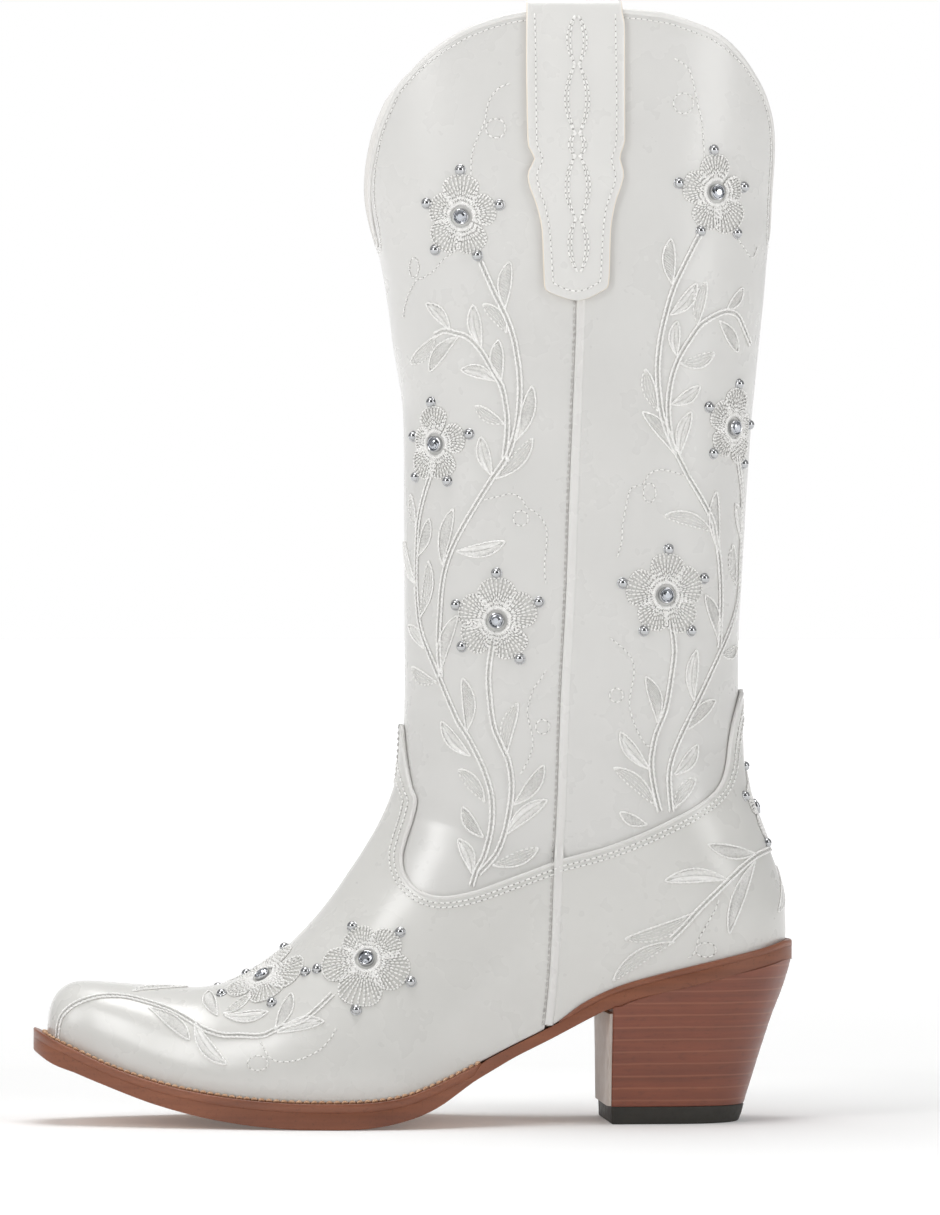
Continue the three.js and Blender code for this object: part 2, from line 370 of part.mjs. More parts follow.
// pull straps: a band up the outside, over the top edge and down the inside
const poly = (T) => (w) => { let i = 0; while (i < T.length - 2 && T[i + 1][0] < w) i++; return lerp(T[i][1], T[i + 1][1], clamp((w - T[i][0]) / (T[i + 1][0] - T[i][0]), 0, 1)); };
const STRAP = [[307.4, 1.0], [309.3, 6.5], [311, 11.3], [324, 12.2], [335, 13.3], [346, 14.9], [351, 16.4], [355, 17.3], [358, 16.6], [360, 15.2], [362.5, 15.9], [366, 17.1], [396, 17.5], [425, 17.5]];
const strapHalf = poly(STRAP);
function strap(side) {
  const path = [];                           // (z, offset, half width) along the band's middle
  for (const z of [307.6, 311, 324, 346, 355, 360, 366, 380, 397, 413.6]) path.push([z, 2.0, strapHalf(z)]);
  path.push([416.6, 1.5, 17.5], [417.6, -0.2, 17.5], [417.6, -3.0, 17.5], [416.6, -4.6, 17.5], [413.6, -5.0, 17.5], [398, -5.0, 17.3], [382, -5.0, 17.0]);
  const th = 0.8, nu = 3, V = [], F = [];
  path.forEach((p, j) => {
    const a = path[Math.max(0, j - 1)], b = path[Math.min(path.length - 1, j + 1)];
    const dz = b[0] - a[0], dof = b[1] - a[1], l = Math.hypot(dz, dof);
    const nz = -dof / l, no = dz / l;        // normal of the path in the (z, offset) plane
    for (const k of [1, -1]) for (let i = 0; i <= nu; i++) {
      const zc = p[0] + k * th * nz, o = p[1] + k * th * no, zs = Math.min(zc, 413.6);
      const q = offsetXZ(seamX(zs) + p[2] * (i / nu * 2 - 1), zs, side, o);
      q[2] += zc - zs;
      V.push(q);
    }
  });
  const row = 2 * (nu + 1), id = (j, k, i) => j * row + k * (nu + 1) + i;
  for (let j = 0; j < path.length - 1; j++) {
    for (let i = 0; i < nu; i++) {
      quad(F, id(j, 0, i), id(j, 0, i + 1), id(j + 1, 0, i + 1), id(j + 1, 0, i));
      quad(F, id(j, 1, i), id(j + 1, 1, i), id(j + 1, 1, i + 1), id(j, 1, i + 1));
    }
    quad(F, id(j, 0, 0), id(j + 1, 0, 0), id(j + 1, 1, 0), id(j, 1, 0));
    quad(F, id(j, 0, nu), id(j, 1, nu), id(j + 1, 1, nu), id(j + 1, 0, nu));
  }
  const e = path.length - 1;
  for (let i = 0; i < nu; i++) {
    quad(F, id(0, 0, i), id(0, 1, i), id(0, 1, i + 1), id(0, 0, i + 1));
    quad(F, id(e, 0, i), id(e, 0, i + 1), id(e, 1, i + 1), id(e, 1, i));
  }
  return solid(V, F);
}
place('pull_strap_outer', strap(-1), WHITE);
place('pull_strap_inner', strap(1), WHITE);

// ---------- bottom ----------
const planHalf = (x, side) => (side < 0 ? wLat(x) : wMed(x)) * toeRound(x) * heelRound(x, 66.04);
// how far the sole's edge stands out from the last
const thick = poly([[-143, 7.2], [-128, 6.4], [-100, 5.4], [0, 5.2], [14, 4.6], [30, 2.6], [48, 2.1], [60, 2.9], [75, 3.2], [110, 3.6], [140, 4.4]]);
function outline(n) {                // the last at the foot line, a plan loop from the toe tip along the outer side
  const rows = [-1, 1].map(side => Array.from({ length: n - 1 }, (_, i) => {
    const x = lerp(TIP_X, 139, (1 - Math.cos(Math.PI * (i + 1) / n)) / 2);
    return [x, centreY(x) + side * planHalf(x, side)];
  }));
  return [[TIP_X, centreY(TIP_X)], ...rows[0], [139, 0], ...rows[1].reverse()];
}
function grow(loop, fn) {            // loop moved outwards by fn(x)
  const n = loop.length;
  return loop.map((p, i) => {
    const a = loop[(i + n - 1) % n], b = loop[(i + 1) % n];
    const nx = b[1] - a[1], ny = a[0] - b[0], l = Math.hypot(nx, ny), k = fn(p[0]) / l;
    return [p[0] + nx * k, p[1] + ny * k];
  });
}
const base = outline(34);
function slab(loop, zlo, zhi) {      // closed slab from a plan loop, its faces running with X
  const V = [], F = [], n = loop.length, h = n / 2;
  for (const f of [zlo, zhi]) loop.forEach(p => V.push([p[0], p[1], f(p[0])]));
  for (let i = 0; i < n; i++) quad(F, i, (i + 1) % n, n + (i + 1) % n, n + i);
  for (let k = 0; k < h; k++) {
    const a = k, b = k + 1, c = n - k - 1, d = (n - k) % n;
    const T = k === 0 ? [[a, b, c]] : b === c ? [[a, b, d]] : [[a, b, c], [a, c, d]];
    T.forEach(t => { F.push(t.map(q => q + n)); F.push([t[0], t[2], t[1]]); });
  }
  return solid(V, F);
}
const edgeLift = (x) => (x < TIP_X ? (TIP_X - x) * 0.28 : 0);
const under = (x) => seatZ(clamp(x, TIP_X, 139)) - GAP + edgeLift(x);
const soleTop = (x) => under(x) - (WELT_T + 0.45) * smooth(WELT_END + 6, WELT_END + 1, x);
const soleLow = (x) => x < 72 ? soleZ(x) : lerp(soleZ(72), seatZ(Math.min(x, 139)) - GAP - SOLE_T_HEEL, smooth(72, 80, x));
const SCREW_X = 104, screwHole = cylinder(SCREW_X, 0, 22.3, 90, 2.5, 10);
place('outsole', slab(grow(base, thick), soleLow, soleTop).subtract(screwHole), BROWN, 0.45);
const up = (k) => (x) => seatZ(clamp(x, TIP_X, 139)) + k;
const boardEdge = (x) => lerp(-4.0, -6.8, smooth(80, 112, x));
place('insole_board', slab(grow(base, boardEdge), up(1.8), up(4.0)).subtract(screwHole), 0xb9a58a, 0.8);
place('sock_lining', slab(grow(base, boardEdge), up(4.3), up(6.6)), 0xd9cbb6, 0.8);
place('sole_filler', slab(grow(base, () => -4.4), up(-3.0), up(1.4)).intersect(prism([[-200, -20], [-200, 90], [17, 90], [17, -20]])), 0x8d7355, 0.9);
place('steel_shank', slab(grow(base, () => -4.4), up(0.1), up(1.4)).intersect(prism([[21, 0], [21, 90], [100, 90], [100, 0]], -7, 7)), STEEL, 0.4, 1);
// strips round the edge: the welt round the forefoot, the rand round the heel
function strip(x0, x1, inner, outer, zlo, zhi, heel) {
  const n = base.length, a = grow(base, inner), b = grow(base, outer), order = [];
  if (!heel) { for (let k = 1 - n / 2; k < n / 2; k++) { const i = (k + n) % n; if (base[i][0] < x1) order.push(i); } }
  else for (let k = 1; k < n; k++) if (base[k][0] > x0) order.push(k);
  const V = [], F = [];
  order.forEach((i) => V.push([...a[i], zlo(a[i][0])], [...b[i], zlo(b[i][0])], [...b[i], zhi(b[i][0])], [...a[i], zhi(a[i][0])]));
  for (let k = 0; k < order.length - 1; k++) for (let i = 0; i < 4; i++) quad(F, k * 4 + i, k * 4 + (i + 1) % 4, (k + 1) * 4 + (i + 1) % 4, (k + 1) * 4 + i);
  const e = (order.length - 1) * 4;
  F.push([0, 2, 1], [0, 3, 2], [e, e + 1, e + 2], [e, e + 2, e + 3]);
  return solid(V, F);
}
place('welt', strip(-200, WELT_END, () => -3.6, thick, (x) => under(x) - WELT_T, under, false), 0xa9704f, 0.5);
place('heel_rand', strip(54.5, 200, () => 2.3, thick, (x) => under(x) + 0.42, (x) => under(x) + 2.6, true), 0x9c6448, 0.5);

// heel: stacked block, facing, top lift and screw
function dLoop(x0, xb, w, n) {       // plan of the heel: flat breast at x0, round back at xb
  const depth = xb - x0, k0 = depth * 0.52, P = [[x0, -w + 1.5], [x0 + 1.5, -w]];
  for (let k = 0; k <= n; k++) {
    const a = -Math.PI / 2 + Math.PI * k / n;
    P.push([x0 + (depth - k0) + k0 * Math.pow(Math.abs(Math.cos(a)), 0.86), w * Math.sign(Math.sin(a)) * Math.pow(Math.abs(Math.sin(a)), 0.93)]);
  }
  P.push([x0 + 1.5, w], [x0, w - 1.5]);
  return P;
}
function stack(loops) {              // loops of (x, y, z) joined and capped
  const V = loops.flat(), F = [], m = loops[0].length, e = (loops.length - 1) * m;
  for (let r = 0; r < loops.length - 1; r++) for (let i = 0; i < m; i++) quad(F, r * m + i, r * m + (i + 1) % m, (r + 1) * m + (i + 1) % m, (r + 1) * m + i);
  for (let i = 0; i < Math.floor(m / 2); i++) {
    const a = i, b = i + 1, c = m - 2 - i, d = m - 1 - i;
    if (b >= c) { if (b === c) F.push([a, d, c], [a + e, c + e, d + e]); break; }
    F.push([a, c, b], [a, d, c], [a + e, b + e, c + e], [a + e, c + e, d + e]);
  }
  return solid(V, F);
}
{
  const n = 14, zBot = TOP_LIFT + GAP;
  const top = dLoop(HEEL_BREAST_X, 143.2, 33.6, n), bot = dLoop(HEEL_BREAST_X, 125.0, 25.5, n), low = dLoop(HEEL_BREAST_X + 0.3, 123.0, 24.9, n);
  const loops = [0, 0.22, 0.48, 0.75, 1].map(f => top.map((p, i) => [lerp(bot[i][0], p[0], f), lerp(bot[i][1], p[1], Math.pow(f, 1.15)), lerp(zBot, soleLow(p[0]) - 0.5, f)]));
  place('heel_block', stack(loops).subtract(screwHole), 0x8a4f3a, 0.45);
  place('heel_top_lift', stack([low.map(p => [...p, 0]), bot.map(p => [...p, 3.2]), bot.map(p => [...p, TOP_LIFT])]), 0x2b2926, 0.7);
  const f = (x) => [[-23.4, 7.2], [23.4, 7.2], [26.4, 25], [30.4, 42], [-30.4, 42], [-26.4, 25]].map(([y, z]) => [x, y, z]);
  place('heel_breast_facing', stack([f(HEEL_BREAST_X - 1.4), f(HEEL_BREAST_X - GAP)]), 0xe3ddd5, 0.6);
  place('heel_screw', cylinder(SCREW_X, 0, 22.6, 61.6, 2.2, 10), 0x8f9498, 0.4, 1);
}

// ---------- flower hardware ----------
// Each flower carries five domed studs and a cup with a crystal. A thin star behind them joins the set.
// [name, x, z of the centre, side, stand-off, studs as (x, z)]
const SHAFT_FLOWERS = [
  ['front_top', 15.7, 338.3, [[15.1, 355.3], [3.0, 343.2], [29.5, 342.3], [6.3, 326.0], [21.6, 323.7]]],
  ['front_middle', 7.1, 254.0, [[5.4, 269.5], [-0.6, 257.0], [18.9, 257.5], [0.2, 241.8], [11.1, 240.1]]],
  ['front_lower', 29.1, 188.1, [[28.9, 205.7], [14.2, 193.9], [44.4, 195.0], [16.4, 178.4], [37.4, 173.9]]],
  ['back_top', 111.1, 347.9, [[110.1, 363.4], [96.6, 350.8], [122.3, 350.1], [105.2, 333.2], [119.6, 332.9]]],
  ['back_middle', 118.9, 260.4, [[121.0, 276.6], [108.8, 267.8], [126.0, 261.7], [110.7, 250.5], [123.4, 246.9]]],
  ['back_lower', 92.0, 197.6, [[93.1, 214.7], [75.6, 202.0], [107.2, 203.8], [83.8, 184.3], [102.2, 184.3]]],
];
function frameOf(n) { const u = norm(cross(Math.abs(n[2]) < 0.8 ? [0, 0, 1] : [1, 0, 0], n)); return [u, cross(n, u)]; }
// a turned shape standing on the leather: rings of (radius, height), flat below, closed above
function turned({ p, n }, rings, seg, tip) {
  const [u, v] = frameOf(n), V = [], F = [], e = (rings.length - 1) * seg;
  for (const [r, h] of rings) for (let i = 0; i < seg; i++) { const a = 2 * Math.PI * i / seg; V.push(add(add(add(p, u, r * Math.cos(a)), v, r * Math.sin(a)), n, h)); }
  for (let j = 0; j < rings.length - 1; j++) for (let i = 0; i < seg; i++) quad(F, j * seg + i, j * seg + (i + 1) % seg, (j + 1) * seg + (i + 1) % seg, (j + 1) * seg + i);
  for (let i = 1; i < seg - 1; i++) F.push([0, i + 1, i]);
  if (tip === undefined) for (let i = 1; i < seg - 1; i++) F.push([e, e + i, e + i + 1]);
  else { V.push(add(p, n, tip)); for (let i = 0; i < seg; i++) F.push([e + seg, e + i, e + (i + 1) % seg]); }
  return solid(V, F);
}
// the surface point nearest to P, with its normal, lifted off the last surface
function nearest(P, lift) {
  let [s, t] = toST(P[0], P[2]);
  if (P[1] > centreY(P[0])) t = -t;
  const far = (a, b) => Math.hypot(...sub(S0(a, b, -1), P));
  let best = far(s, t), ds = 0.03, dt = 0.08;
  while (dt > 2e-4) {
    let moved = false;
    for (const [i, j] of [[1, 0], [-1, 0], [0, 1], [0, -1], [1, 1], [-1, -1], [1, -1], [-1, 1]]) {
      const a = clamp(s + i * ds, 0, 2.99), b = t + j * dt, d = far(a, b);
      if (d < best - 1e-6) { best = d; s = a; t = b; moved = true; }
    }
    if (!moved) { ds /= 2; dt /= 2; }
  }
  const side = t < 0 ? 1 : -1, n = normalAt(s, Math.abs(t), side);
  return { p: add(S0(s, t, -1), n, lift), n };
}
// a cup with an arm to each stud; c and studs are points near the leather
function flower(name, c, studs, lift) {
  const C = nearest(c, lift), [u, v] = frameOf(C.n);
  const arms = studs.map(q => { const Q = nearest(q, lift), d = sub(Q.p, C.p); return { Q, a: Math.atan2(d[0] * v[0] + d[1] * v[1] + d[2] * v[2], d[0] * u[0] + d[1] * u[1] + d[2] * u[2]) }; }).sort((p, q) => p.a - q.a);
  const V = [], F = [], loop = [], n = arms.length;
  const pair = (P, h) => { const q = nearest(P, lift); V.push(q.p, add(q.p, q.n, h)); return V.length - 2; };
  const valleys = arms.map((arm, i) => {
    const next = arms[(i + 1) % n].a + (i === n - 1 ? 2 * Math.PI : 0), m = (arm.a + next) / 2;
    return pair(add(add(C.p, u, CUP_R * Math.cos(m)), v, CUP_R * Math.sin(m)), 1.0);
  });
  V.push(C.p, add(C.p, C.n, 1.0));
  const mid = V.length - 2;
  arms.forEach(({ Q }, i) => {
    const d = norm(sub(Q.p, C.p)), w = norm(cross(Q.n, d)), e = norm(cross(w, Q.n)), M = add(C.p, sub(Q.p, C.p), 0.5);
    const mr = pair(add(M, w, -0.55), 0.45), ml = pair(add(M, w, 0.55), 0.45);
    const [r, o2, o, o1, l] = [216, 288, 0, 72, 144].map(g => { const a = g * Math.PI / 180; return pair(add(add(Q.p, e, STUD_R * Math.cos(a)), w, STUD_R * Math.sin(a)), 0.5); });
    V.push(add(Q.p, Q.n, 1.9));
    const tip = V.length - 1, v0 = valleys[(i + n - 1) % n], v1 = valleys[i];
    F.push([mid + 1, v0 + 1, v1 + 1], [mid, v1, v0]);
    quad(F, v0 + 1, mr + 1, ml + 1, v1 + 1); quad(F, v0, v1, ml, mr);
    quad(F, mr + 1, r + 1, l + 1, ml + 1); quad(F, mr, ml, l, r);
    const ring = [r, o2, o, o1, l];
    ring.forEach((k, j) => F.push([tip, k + 1, ring[(j + 1) % 5] + 1]));
    F.push([r, l, o1], [r, o1, o], [r, o, o2]);
    loop.push(v0, mr, r, o2, o, o1, l, ml);
  });
  loop.forEach((k, j) => { const m = loop[(j + 1) % loop.length]; quad(F, k, m, m + 1, k + 1); });
  place('studs_' + name, solid(V, F), 0xc9ccd0, 0.15, 1);
  place('crystal_' + name, turned(C, [[2.0, 1.3], [2.2, 1.6], [1.2, 2.3]], 6), 0xf4f7fa, 0.05);
}
const LIFT = 0.5, LIFT_VAMP = OUTER[1] + 1.0, at3 = (x, z, side) => { const [s, t] = toST(x, z); return S0(s, t, side); };
for (const [word, side] of [['outer', -1], ['inner', 1]]) {
  for (const [name, x, z, studs] of SHAFT_FLOWERS) flower(word + '_' + name, at3(x, z, side), studs.map(q => at3(q[0], q[1], side)), LIFT);
  flower('vamp_' + word + '_side', at3(-19.2, 61.6, side), [[-23.5, 73.4], [-6.6, 71.8], [-3.3, 53.9], [-23.9, 43.5], [-36.9, 57.7]].map(q => at3(q[0], q[1], side)), LIFT_VAMP);
}
// the two flowers that meet on the vamp's middle line share the studs on it
const VAMP_TOP = [[-71.8, -12, 46.5], [-54.1, -29, 45.5], [-41.2, -25.7, 56.5]];
flower('vamp_outer_top', [-55.8, -12.8, 53.6], [...VAMP_TOP, [-47.1, 0.6, 64.0], [-61.9, 1.1, 54.4]], LIFT_VAMP);
flower('vamp_inner_top', [-55.8, 14.6, 53.6], VAMP_TOP.map(([x, y, z]) => [x, 1.6 - y, z]), LIFT_VAMP);
flower('heel_back', [backXz(117), 0, 117], [[backXz(133), 0, 133], [backXz(122) - 2.5, -13.5, 122], [backXz(122) - 2.5, 13.5, 122], [backXz(104) - 1, -9, 104], [backXz(104) - 1, 9, 104]], LIFT_VAMP + 1.6);
export default group;
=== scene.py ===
# Visual model of the left cowboy boot: leather, embroidery, hardware, welt, sole and stacked heel round the CAD frame.
import bpy
import math
import random
import numpy as np
from mathutils import Vector, Matrix, geometry
from mathutils.bvhtree import BVHTree


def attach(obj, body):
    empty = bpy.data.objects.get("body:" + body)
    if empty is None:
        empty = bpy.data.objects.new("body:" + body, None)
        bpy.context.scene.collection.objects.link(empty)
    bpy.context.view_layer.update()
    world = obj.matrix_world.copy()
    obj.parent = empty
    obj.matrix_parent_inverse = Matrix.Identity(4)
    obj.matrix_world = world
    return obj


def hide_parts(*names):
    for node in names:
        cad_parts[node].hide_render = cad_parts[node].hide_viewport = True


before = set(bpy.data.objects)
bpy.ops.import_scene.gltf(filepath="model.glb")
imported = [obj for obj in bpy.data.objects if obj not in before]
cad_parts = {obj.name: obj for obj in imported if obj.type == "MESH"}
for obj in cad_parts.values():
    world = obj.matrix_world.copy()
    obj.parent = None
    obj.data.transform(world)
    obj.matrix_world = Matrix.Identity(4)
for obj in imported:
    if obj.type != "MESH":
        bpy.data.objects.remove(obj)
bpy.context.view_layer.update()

# Frame of the work below: millimetres, before the shift that puts the footprint's centre on the origin.
SHIFT = np.array([-0.589, 0.169, 0.0])
MM = 0.001
FRONT = [[-22.6, 421], [-22.2, 400], [-21.6, 380], [-21.1, 367], [-20.5, 357.5], [-19.3, 348.5], [-17.4, 340.5], [-14.9, 332.5], [-12.7, 325], [-11.2, 318], [-9.6, 308.5], [-7.42, 291.62], [-5.54, 280.35], [-3.84, 269.08], [-3.28, 252.18], [-3.28, 233.39], [-3.09, 210.85], [-3.09, 184.55], [-3.09, 162.0], [-3.28, 152.61], [-3.65, 143.22], [-4.22, 134.95], [-5.16, 127.44], [-6.86, 121.81], [-9.12, 116.18], [-11.94, 110.36], [-15.33, 104.55], [-18.9, 98.74], [-22.85, 92.93], [-26.62, 87.3], [-30.75, 81.69], [-35.27, 76.07], [-40.53, 70.27], [-46.16, 64.85], [-52.55, 59.81], [-58.93, 55.52], [-65.32, 52.36], [-71.7, 50.32], [-77.7, 49.22], [-83.7, 48.95], [-90.07, 49.2], [-102.06, 49.96], [-113.66, 50.87], [-121.5, 51.35], [-126.5, 51.0], [-129.75, 49.6], [-132.55, 46.83], [-134.42, 42.53], [-135.24, 37.11], [-135.4, 33.0]]
BACK = [[141.59, 420.33], [140.83, 399.57], [139.7, 376.93], [138.56, 365.61], [137.04, 354.28], [135.52, 342.96], [134.5, 331.63], [133.5, 321.07], [132.48, 308.99], [131.34, 297.67], [130.2, 286.35], [129.06, 275.04], [127.93, 263.72], [127.17, 252.4], [126.41, 241.09], [125.65, 229.77], [125.1, 218.46], [124.4, 207.14], [123.75, 195.83], [123.18, 184.52], [122.99, 173.2], [122.99, 161.89], [123.18, 150.58], [123.37, 141.15], [123.75, 133.6], [124.51, 127.95], [125.65, 122.29], [127.55, 116.63], [129.82, 110.96], [131.91, 105.3], [134.0, 99.64], [136.09, 93.97], [137.61, 88.31], [138.75, 82.65], [139.13, 76.98], [139.13, 71.33], [138.75, 66.04]]
FOOT = [[133.7, 64.6], [129.08, 63.5], [117.55, 60.96], [106.05, 58.37], [94.6, 55.6], [83.2, 52.6], [78.02, 51.1], [72.06, 49.0], [66.13, 46.3], [60.13, 43.1], [52.96, 39.2], [46.95, 36.1], [42.12, 33.7], [36.1, 30.9], [26.94, 26.4], [19.67, 22.9], [7.25, 17.15], [0.9, 14.6], [-5.1, 12.6], [-11.1, 11.3], [-19.99, 10.3], [-28.84, 10.0], [-37.64, 9.95], [-46.41, 10.1], [-55.2, 10.5], [-63.95, 11.2], [-73.64, 12.3], [-79.45, 13.2], [-85.29, 14.2], [-91.1, 15.4], [-96.96, 16.9], [-102.77, 18.6], [-108.59, 20.5], [-114.45, 22.7], [-120.28, 25.2], [-126.13, 27.9], [-131.96, 30.6], [-135.4, 32.2]]
SOLE_BOTTOM = [[-142.74, 28.9], [-134.97, 23.4], [-126.23, 19.2], [-117.49, 15.7], [-108.7, 12.3], [-99.97, 9.2], [-91.24, 6.7], [-82.52, 4.6], [-73.8, 2.95], [-63.32, 1.45], [-54, 0.6], [-46.61, 0.15], [-34.91, 0.0], [-23.19, 0.25], [-14.28, 1.3], [-5.36, 3.3], [0.63, 5.3], [6.98, 8.3], [12.5, 11.9], [19.99, 17.0], [27.5, 21.2], [35.79, 25.8], [47.84, 31.6], [59.79, 37.9], [67.58, 41.9], [72.0, 43.8]]
SEAM = [[57.3, 420], [57.5, 381], [57.9, 344], [58.5, 307.2], [57.1, 262.7], [56, 232.9], [54.8, 195.8], [53, 158.6], [51.9, 121.5], [50.75, 98.5], [49.3, 65.8], [48.1, 47.2], [47, 36.0], [46.6, 30]]
TOPLINE = [[-13.6, 329.6], [-15.1, 333.99], [-16.6, 340.67], [-17.45, 348.1], [-17.1, 357.39], [-15.48, 366.68], [-13.24, 374.5], [-8.77, 384.93], [-3.93, 391.27], [0.54, 396.32], [6.88, 401.74], [15.83, 407.19], [24.78, 410.78], [32.25, 412.87], [40.47, 414.23], [52.8, 415.3], [67.76, 415.4], [82.73, 414.69], [94.34, 413.0], [109.72, 407.97], [117.97, 402.43], [123.22, 396.86], [127.35, 391.29], [130.73, 385.71], [132.99, 380.13], [134.5, 374.54], [135.24, 367.45], [135.3, 360.74], [134.95, 353.27], [134.6, 345.0], [134.5, 338.0], [134.2, 332.0]]
VAMP_EDGE = [[-3.28, 149.2], [-3.0, 146], [-2.6, 140], [-1.8, 132.5], [-0.6, 125.5], [0.7, 120.5], [-0.9, 113.5], [-3.3, 106.4], [-5.0, 100.1], [-4.7, 94.5], [-2.2, 89.7], [2.4, 86.3], [8.38, 85.0], [15.85, 85.9], [23.33, 87.9], [30.81, 90.7], [38.29, 93.5], [45.77, 96.3], [50.8, 98.3]]
COUNTER_EDGE = [[50.8, 98.6], [60.47, 101.0], [67.95, 103.0], [79.19, 107.0], [90.44, 111.9], [101.69, 117.4], [109.2, 122.3], [113.7, 127.5], [115.95, 134.2], [117.0, 141.7], [118.5, 149.5], [121.0, 157.5], [123.02, 162.2]]
W_LAT = [[-135.4, 12.5], [-126.8, 15.8], [-117.4, 20.5], [-98.7, 28], [-79.95, 34.5], [-61.2, 39.5], [-42.4, 43], [-25.5, 44.5], [-8.55, 43.5], [6.5, 40], [21.6, 35.5], [36.7, 31.8], [51.8, 29.6], [66.9, 29.2], [85.85, 30], [108.6, 31], [123.75, 30.8], [139, 30.5]]
W_MED = [[-135.4, 12.5], [-126.8, 15.8], [-117.4, 20.5], [-98.7, 29], [-79.95, 36], [-61.2, 41], [-46.2, 43.5], [-31.1, 44], [-16.1, 41.7], [-1, 37], [14, 31.6], [29.2, 27.6], [44.25, 26], [59.4, 26.8], [74.5, 28.5], [93.4, 30], [108.6, 31], [123.75, 30.8], [139, 30.5]]
CENTRE_Y = [[-143, 6.5], [-120, 5.4], [-100, 4.0], [-75, 2.1], [-50, 0.7], [-25, 0], [0, 0], [150, 0]]
W_SHAFT = [[141.3, 34.6], [160, 35.2], [185, 36.2], [215, 37], [250, 37.8], [290, 38.8], [325, 40], [360, 41.3], [400, 42.4], [425, 42.8]]
W_FAN = [[0, 34.6], [8, 34], [16, 33.3], [24, 33.2], [32, 34], [45, 36.8], [60, 42.3]]
RIDGE = [[0, 0.5], [10, 0.47], [20, 0.46], [30, 0.55], [45, 0.68], [60, 0.79], [75, 0.84], [90, 0.85]]
HEEL_R = [[50, 36], [66, 36], [80, 38], [100, 44], [120, 52], [141.3, 63.5]]
SHAFT_FLOWERS = [
  ["front_top", 15.7, 338.3, [[15.1, 355.3], [3.0, 343.2], [29.5, 342.3], [6.3, 326.0], [21.6, 323.7]]],
  ["front_middle", 7.1, 254.0, [[5.4, 269.5], [-0.6, 257.0], [18.9, 257.5], [0.2, 241.8], [11.1, 240.1]]],
  ["front_lower", 29.1, 188.1, [[28.9, 205.7], [14.2, 193.9], [44.4, 195.0], [16.4, 178.4], [37.4, 173.9]]],
  ["back_top", 111.1, 347.9, [[110.1, 363.4], [96.6, 350.8], [122.3, 350.1], [105.2, 333.2], [119.6, 332.9]]],
  ["back_middle", 118.9, 260.4, [[121.0, 276.6], [108.8, 267.8], [126.0, 261.7], [110.7, 250.5], [123.4, 246.9]]],
  ["back_lower", 92.0, 197.6, [[93.1, 214.7], [75.6, 202.0], [107.2, 203.8], [83.8, 184.3], [102.2, 184.3]]],
]
STEM_SHAFT = [[[22.8,321.6],[27.3,311.2],[32.1,301.2],[34.8,293.6],[36.4,285.2],[37.2,278.0],[37.2,269.7],[36.2,260.3],[33.9,252.0],[31.3,246.8],[27.3,241.0],[23.2,234.3],[19.2,227.5],[16.0,221.7],[12.8,214.8],[10.6,208.0],[9.3,200.6],[8.7,192.0],[8.2,180.6],[9.0,166.9]],[[31.6,247.8],[32.6,256.1],[32.8,262.4],[32.1,268.7],[30.8,274.9],[29.2,278.0],[26.1,283.3],[23.3,288.2],[20.0,292.1],[16.9,294.3],[13.9,295.1],[9.9,296.2],[6.4,294.4]],[[5.9,244.1],[3.3,235.5],[1.3,225.8],[0.7,214.9],[0.5,203.5],[1.1,192.0],[2.1,184.6],[4.7,176.6],[8.5,166.9],[11.8,158.4],[15.3,150.2],[18.3,145.5],[21.8,138.7],[24.9,131.4],[27.2,123.1],[27.5,114.2],[26.5,107.4],[24.3,100.2],[21.7,95.5],[19.6,89.2]],[[27.4,178.9],[26.1,169.3],[26.4,160.7],[27.9,149.2],[31.0,141.4],[33.3,136.2],[34.6,128.3],[34.2,120.0],[32.2,109.5],[29.5,102.3],[26.4,98.1],[22.2,93.9]],[[105.2,332.5],[103.5,329.8],[98.4,319.8],[94.6,311.8],[91.6,301.8],[89.6,292.5],[88.6,281.8],[89.3,271.2],[91.0,262.0],[95.2,252.0],[98.7,245.4],[100.8,241.4],[105.1,234.8],[110.2,225.7],[111.3,220.6],[113.2,210.6],[114.0,197.3],[113.7,187.2],[113.4,177.9]],[[93.8,254.7],[92.7,266.6],[93.7,276.6],[96.5,285.3],[101.3,293.3],[105.5,298.7],[111.1,302.1],[115.4,303.6],[119.8,302.4],[122.8,297.1],[125.6,291.4]],[[120.4,250.4],[122.6,237.1],[122.8,227.5],[122.2,210.7],[121.6,197.3],[118.8,187.2],[114.2,177.2],[109.0,166.6],[104.7,157.9],[99.8,148.6],[95.6,139.4],[93.5,131.4],[93.7,123.4],[94.3,116.8]],[[94.1,187.3],[95.5,177.3],[94.2,166.0],[92.1,154.7],[89.0,147.4],[87.4,141.4],[86.6,134.1],[87.9,124.8],[89.9,116.8]]]
STEM_FOOT = [[[-132.1,30.2],[-132.1,34.4],[-131.0,39.8],[-127.7,43.4],[-123.0,45.5],[-117.1,46.7],[-110.5,46.7],[-105.2,45.9],[-98.8,44.2],[-91.8,41.9],[-84.9,38.6],[-79.1,35.3],[-72.2,33.5],[-66.6,33.6],[-57.9,33.7],[-52.1,36.4],[-43.3,39.4],[-38.0,43.5],[-31.9,49.2]],[[134.0,102.0],[126.8,100.0],[119.9,95.3],[114.8,90.8],[109.9,86.2],[103.8,80.2],[99.2,74.9],[93.9,69.6]]]
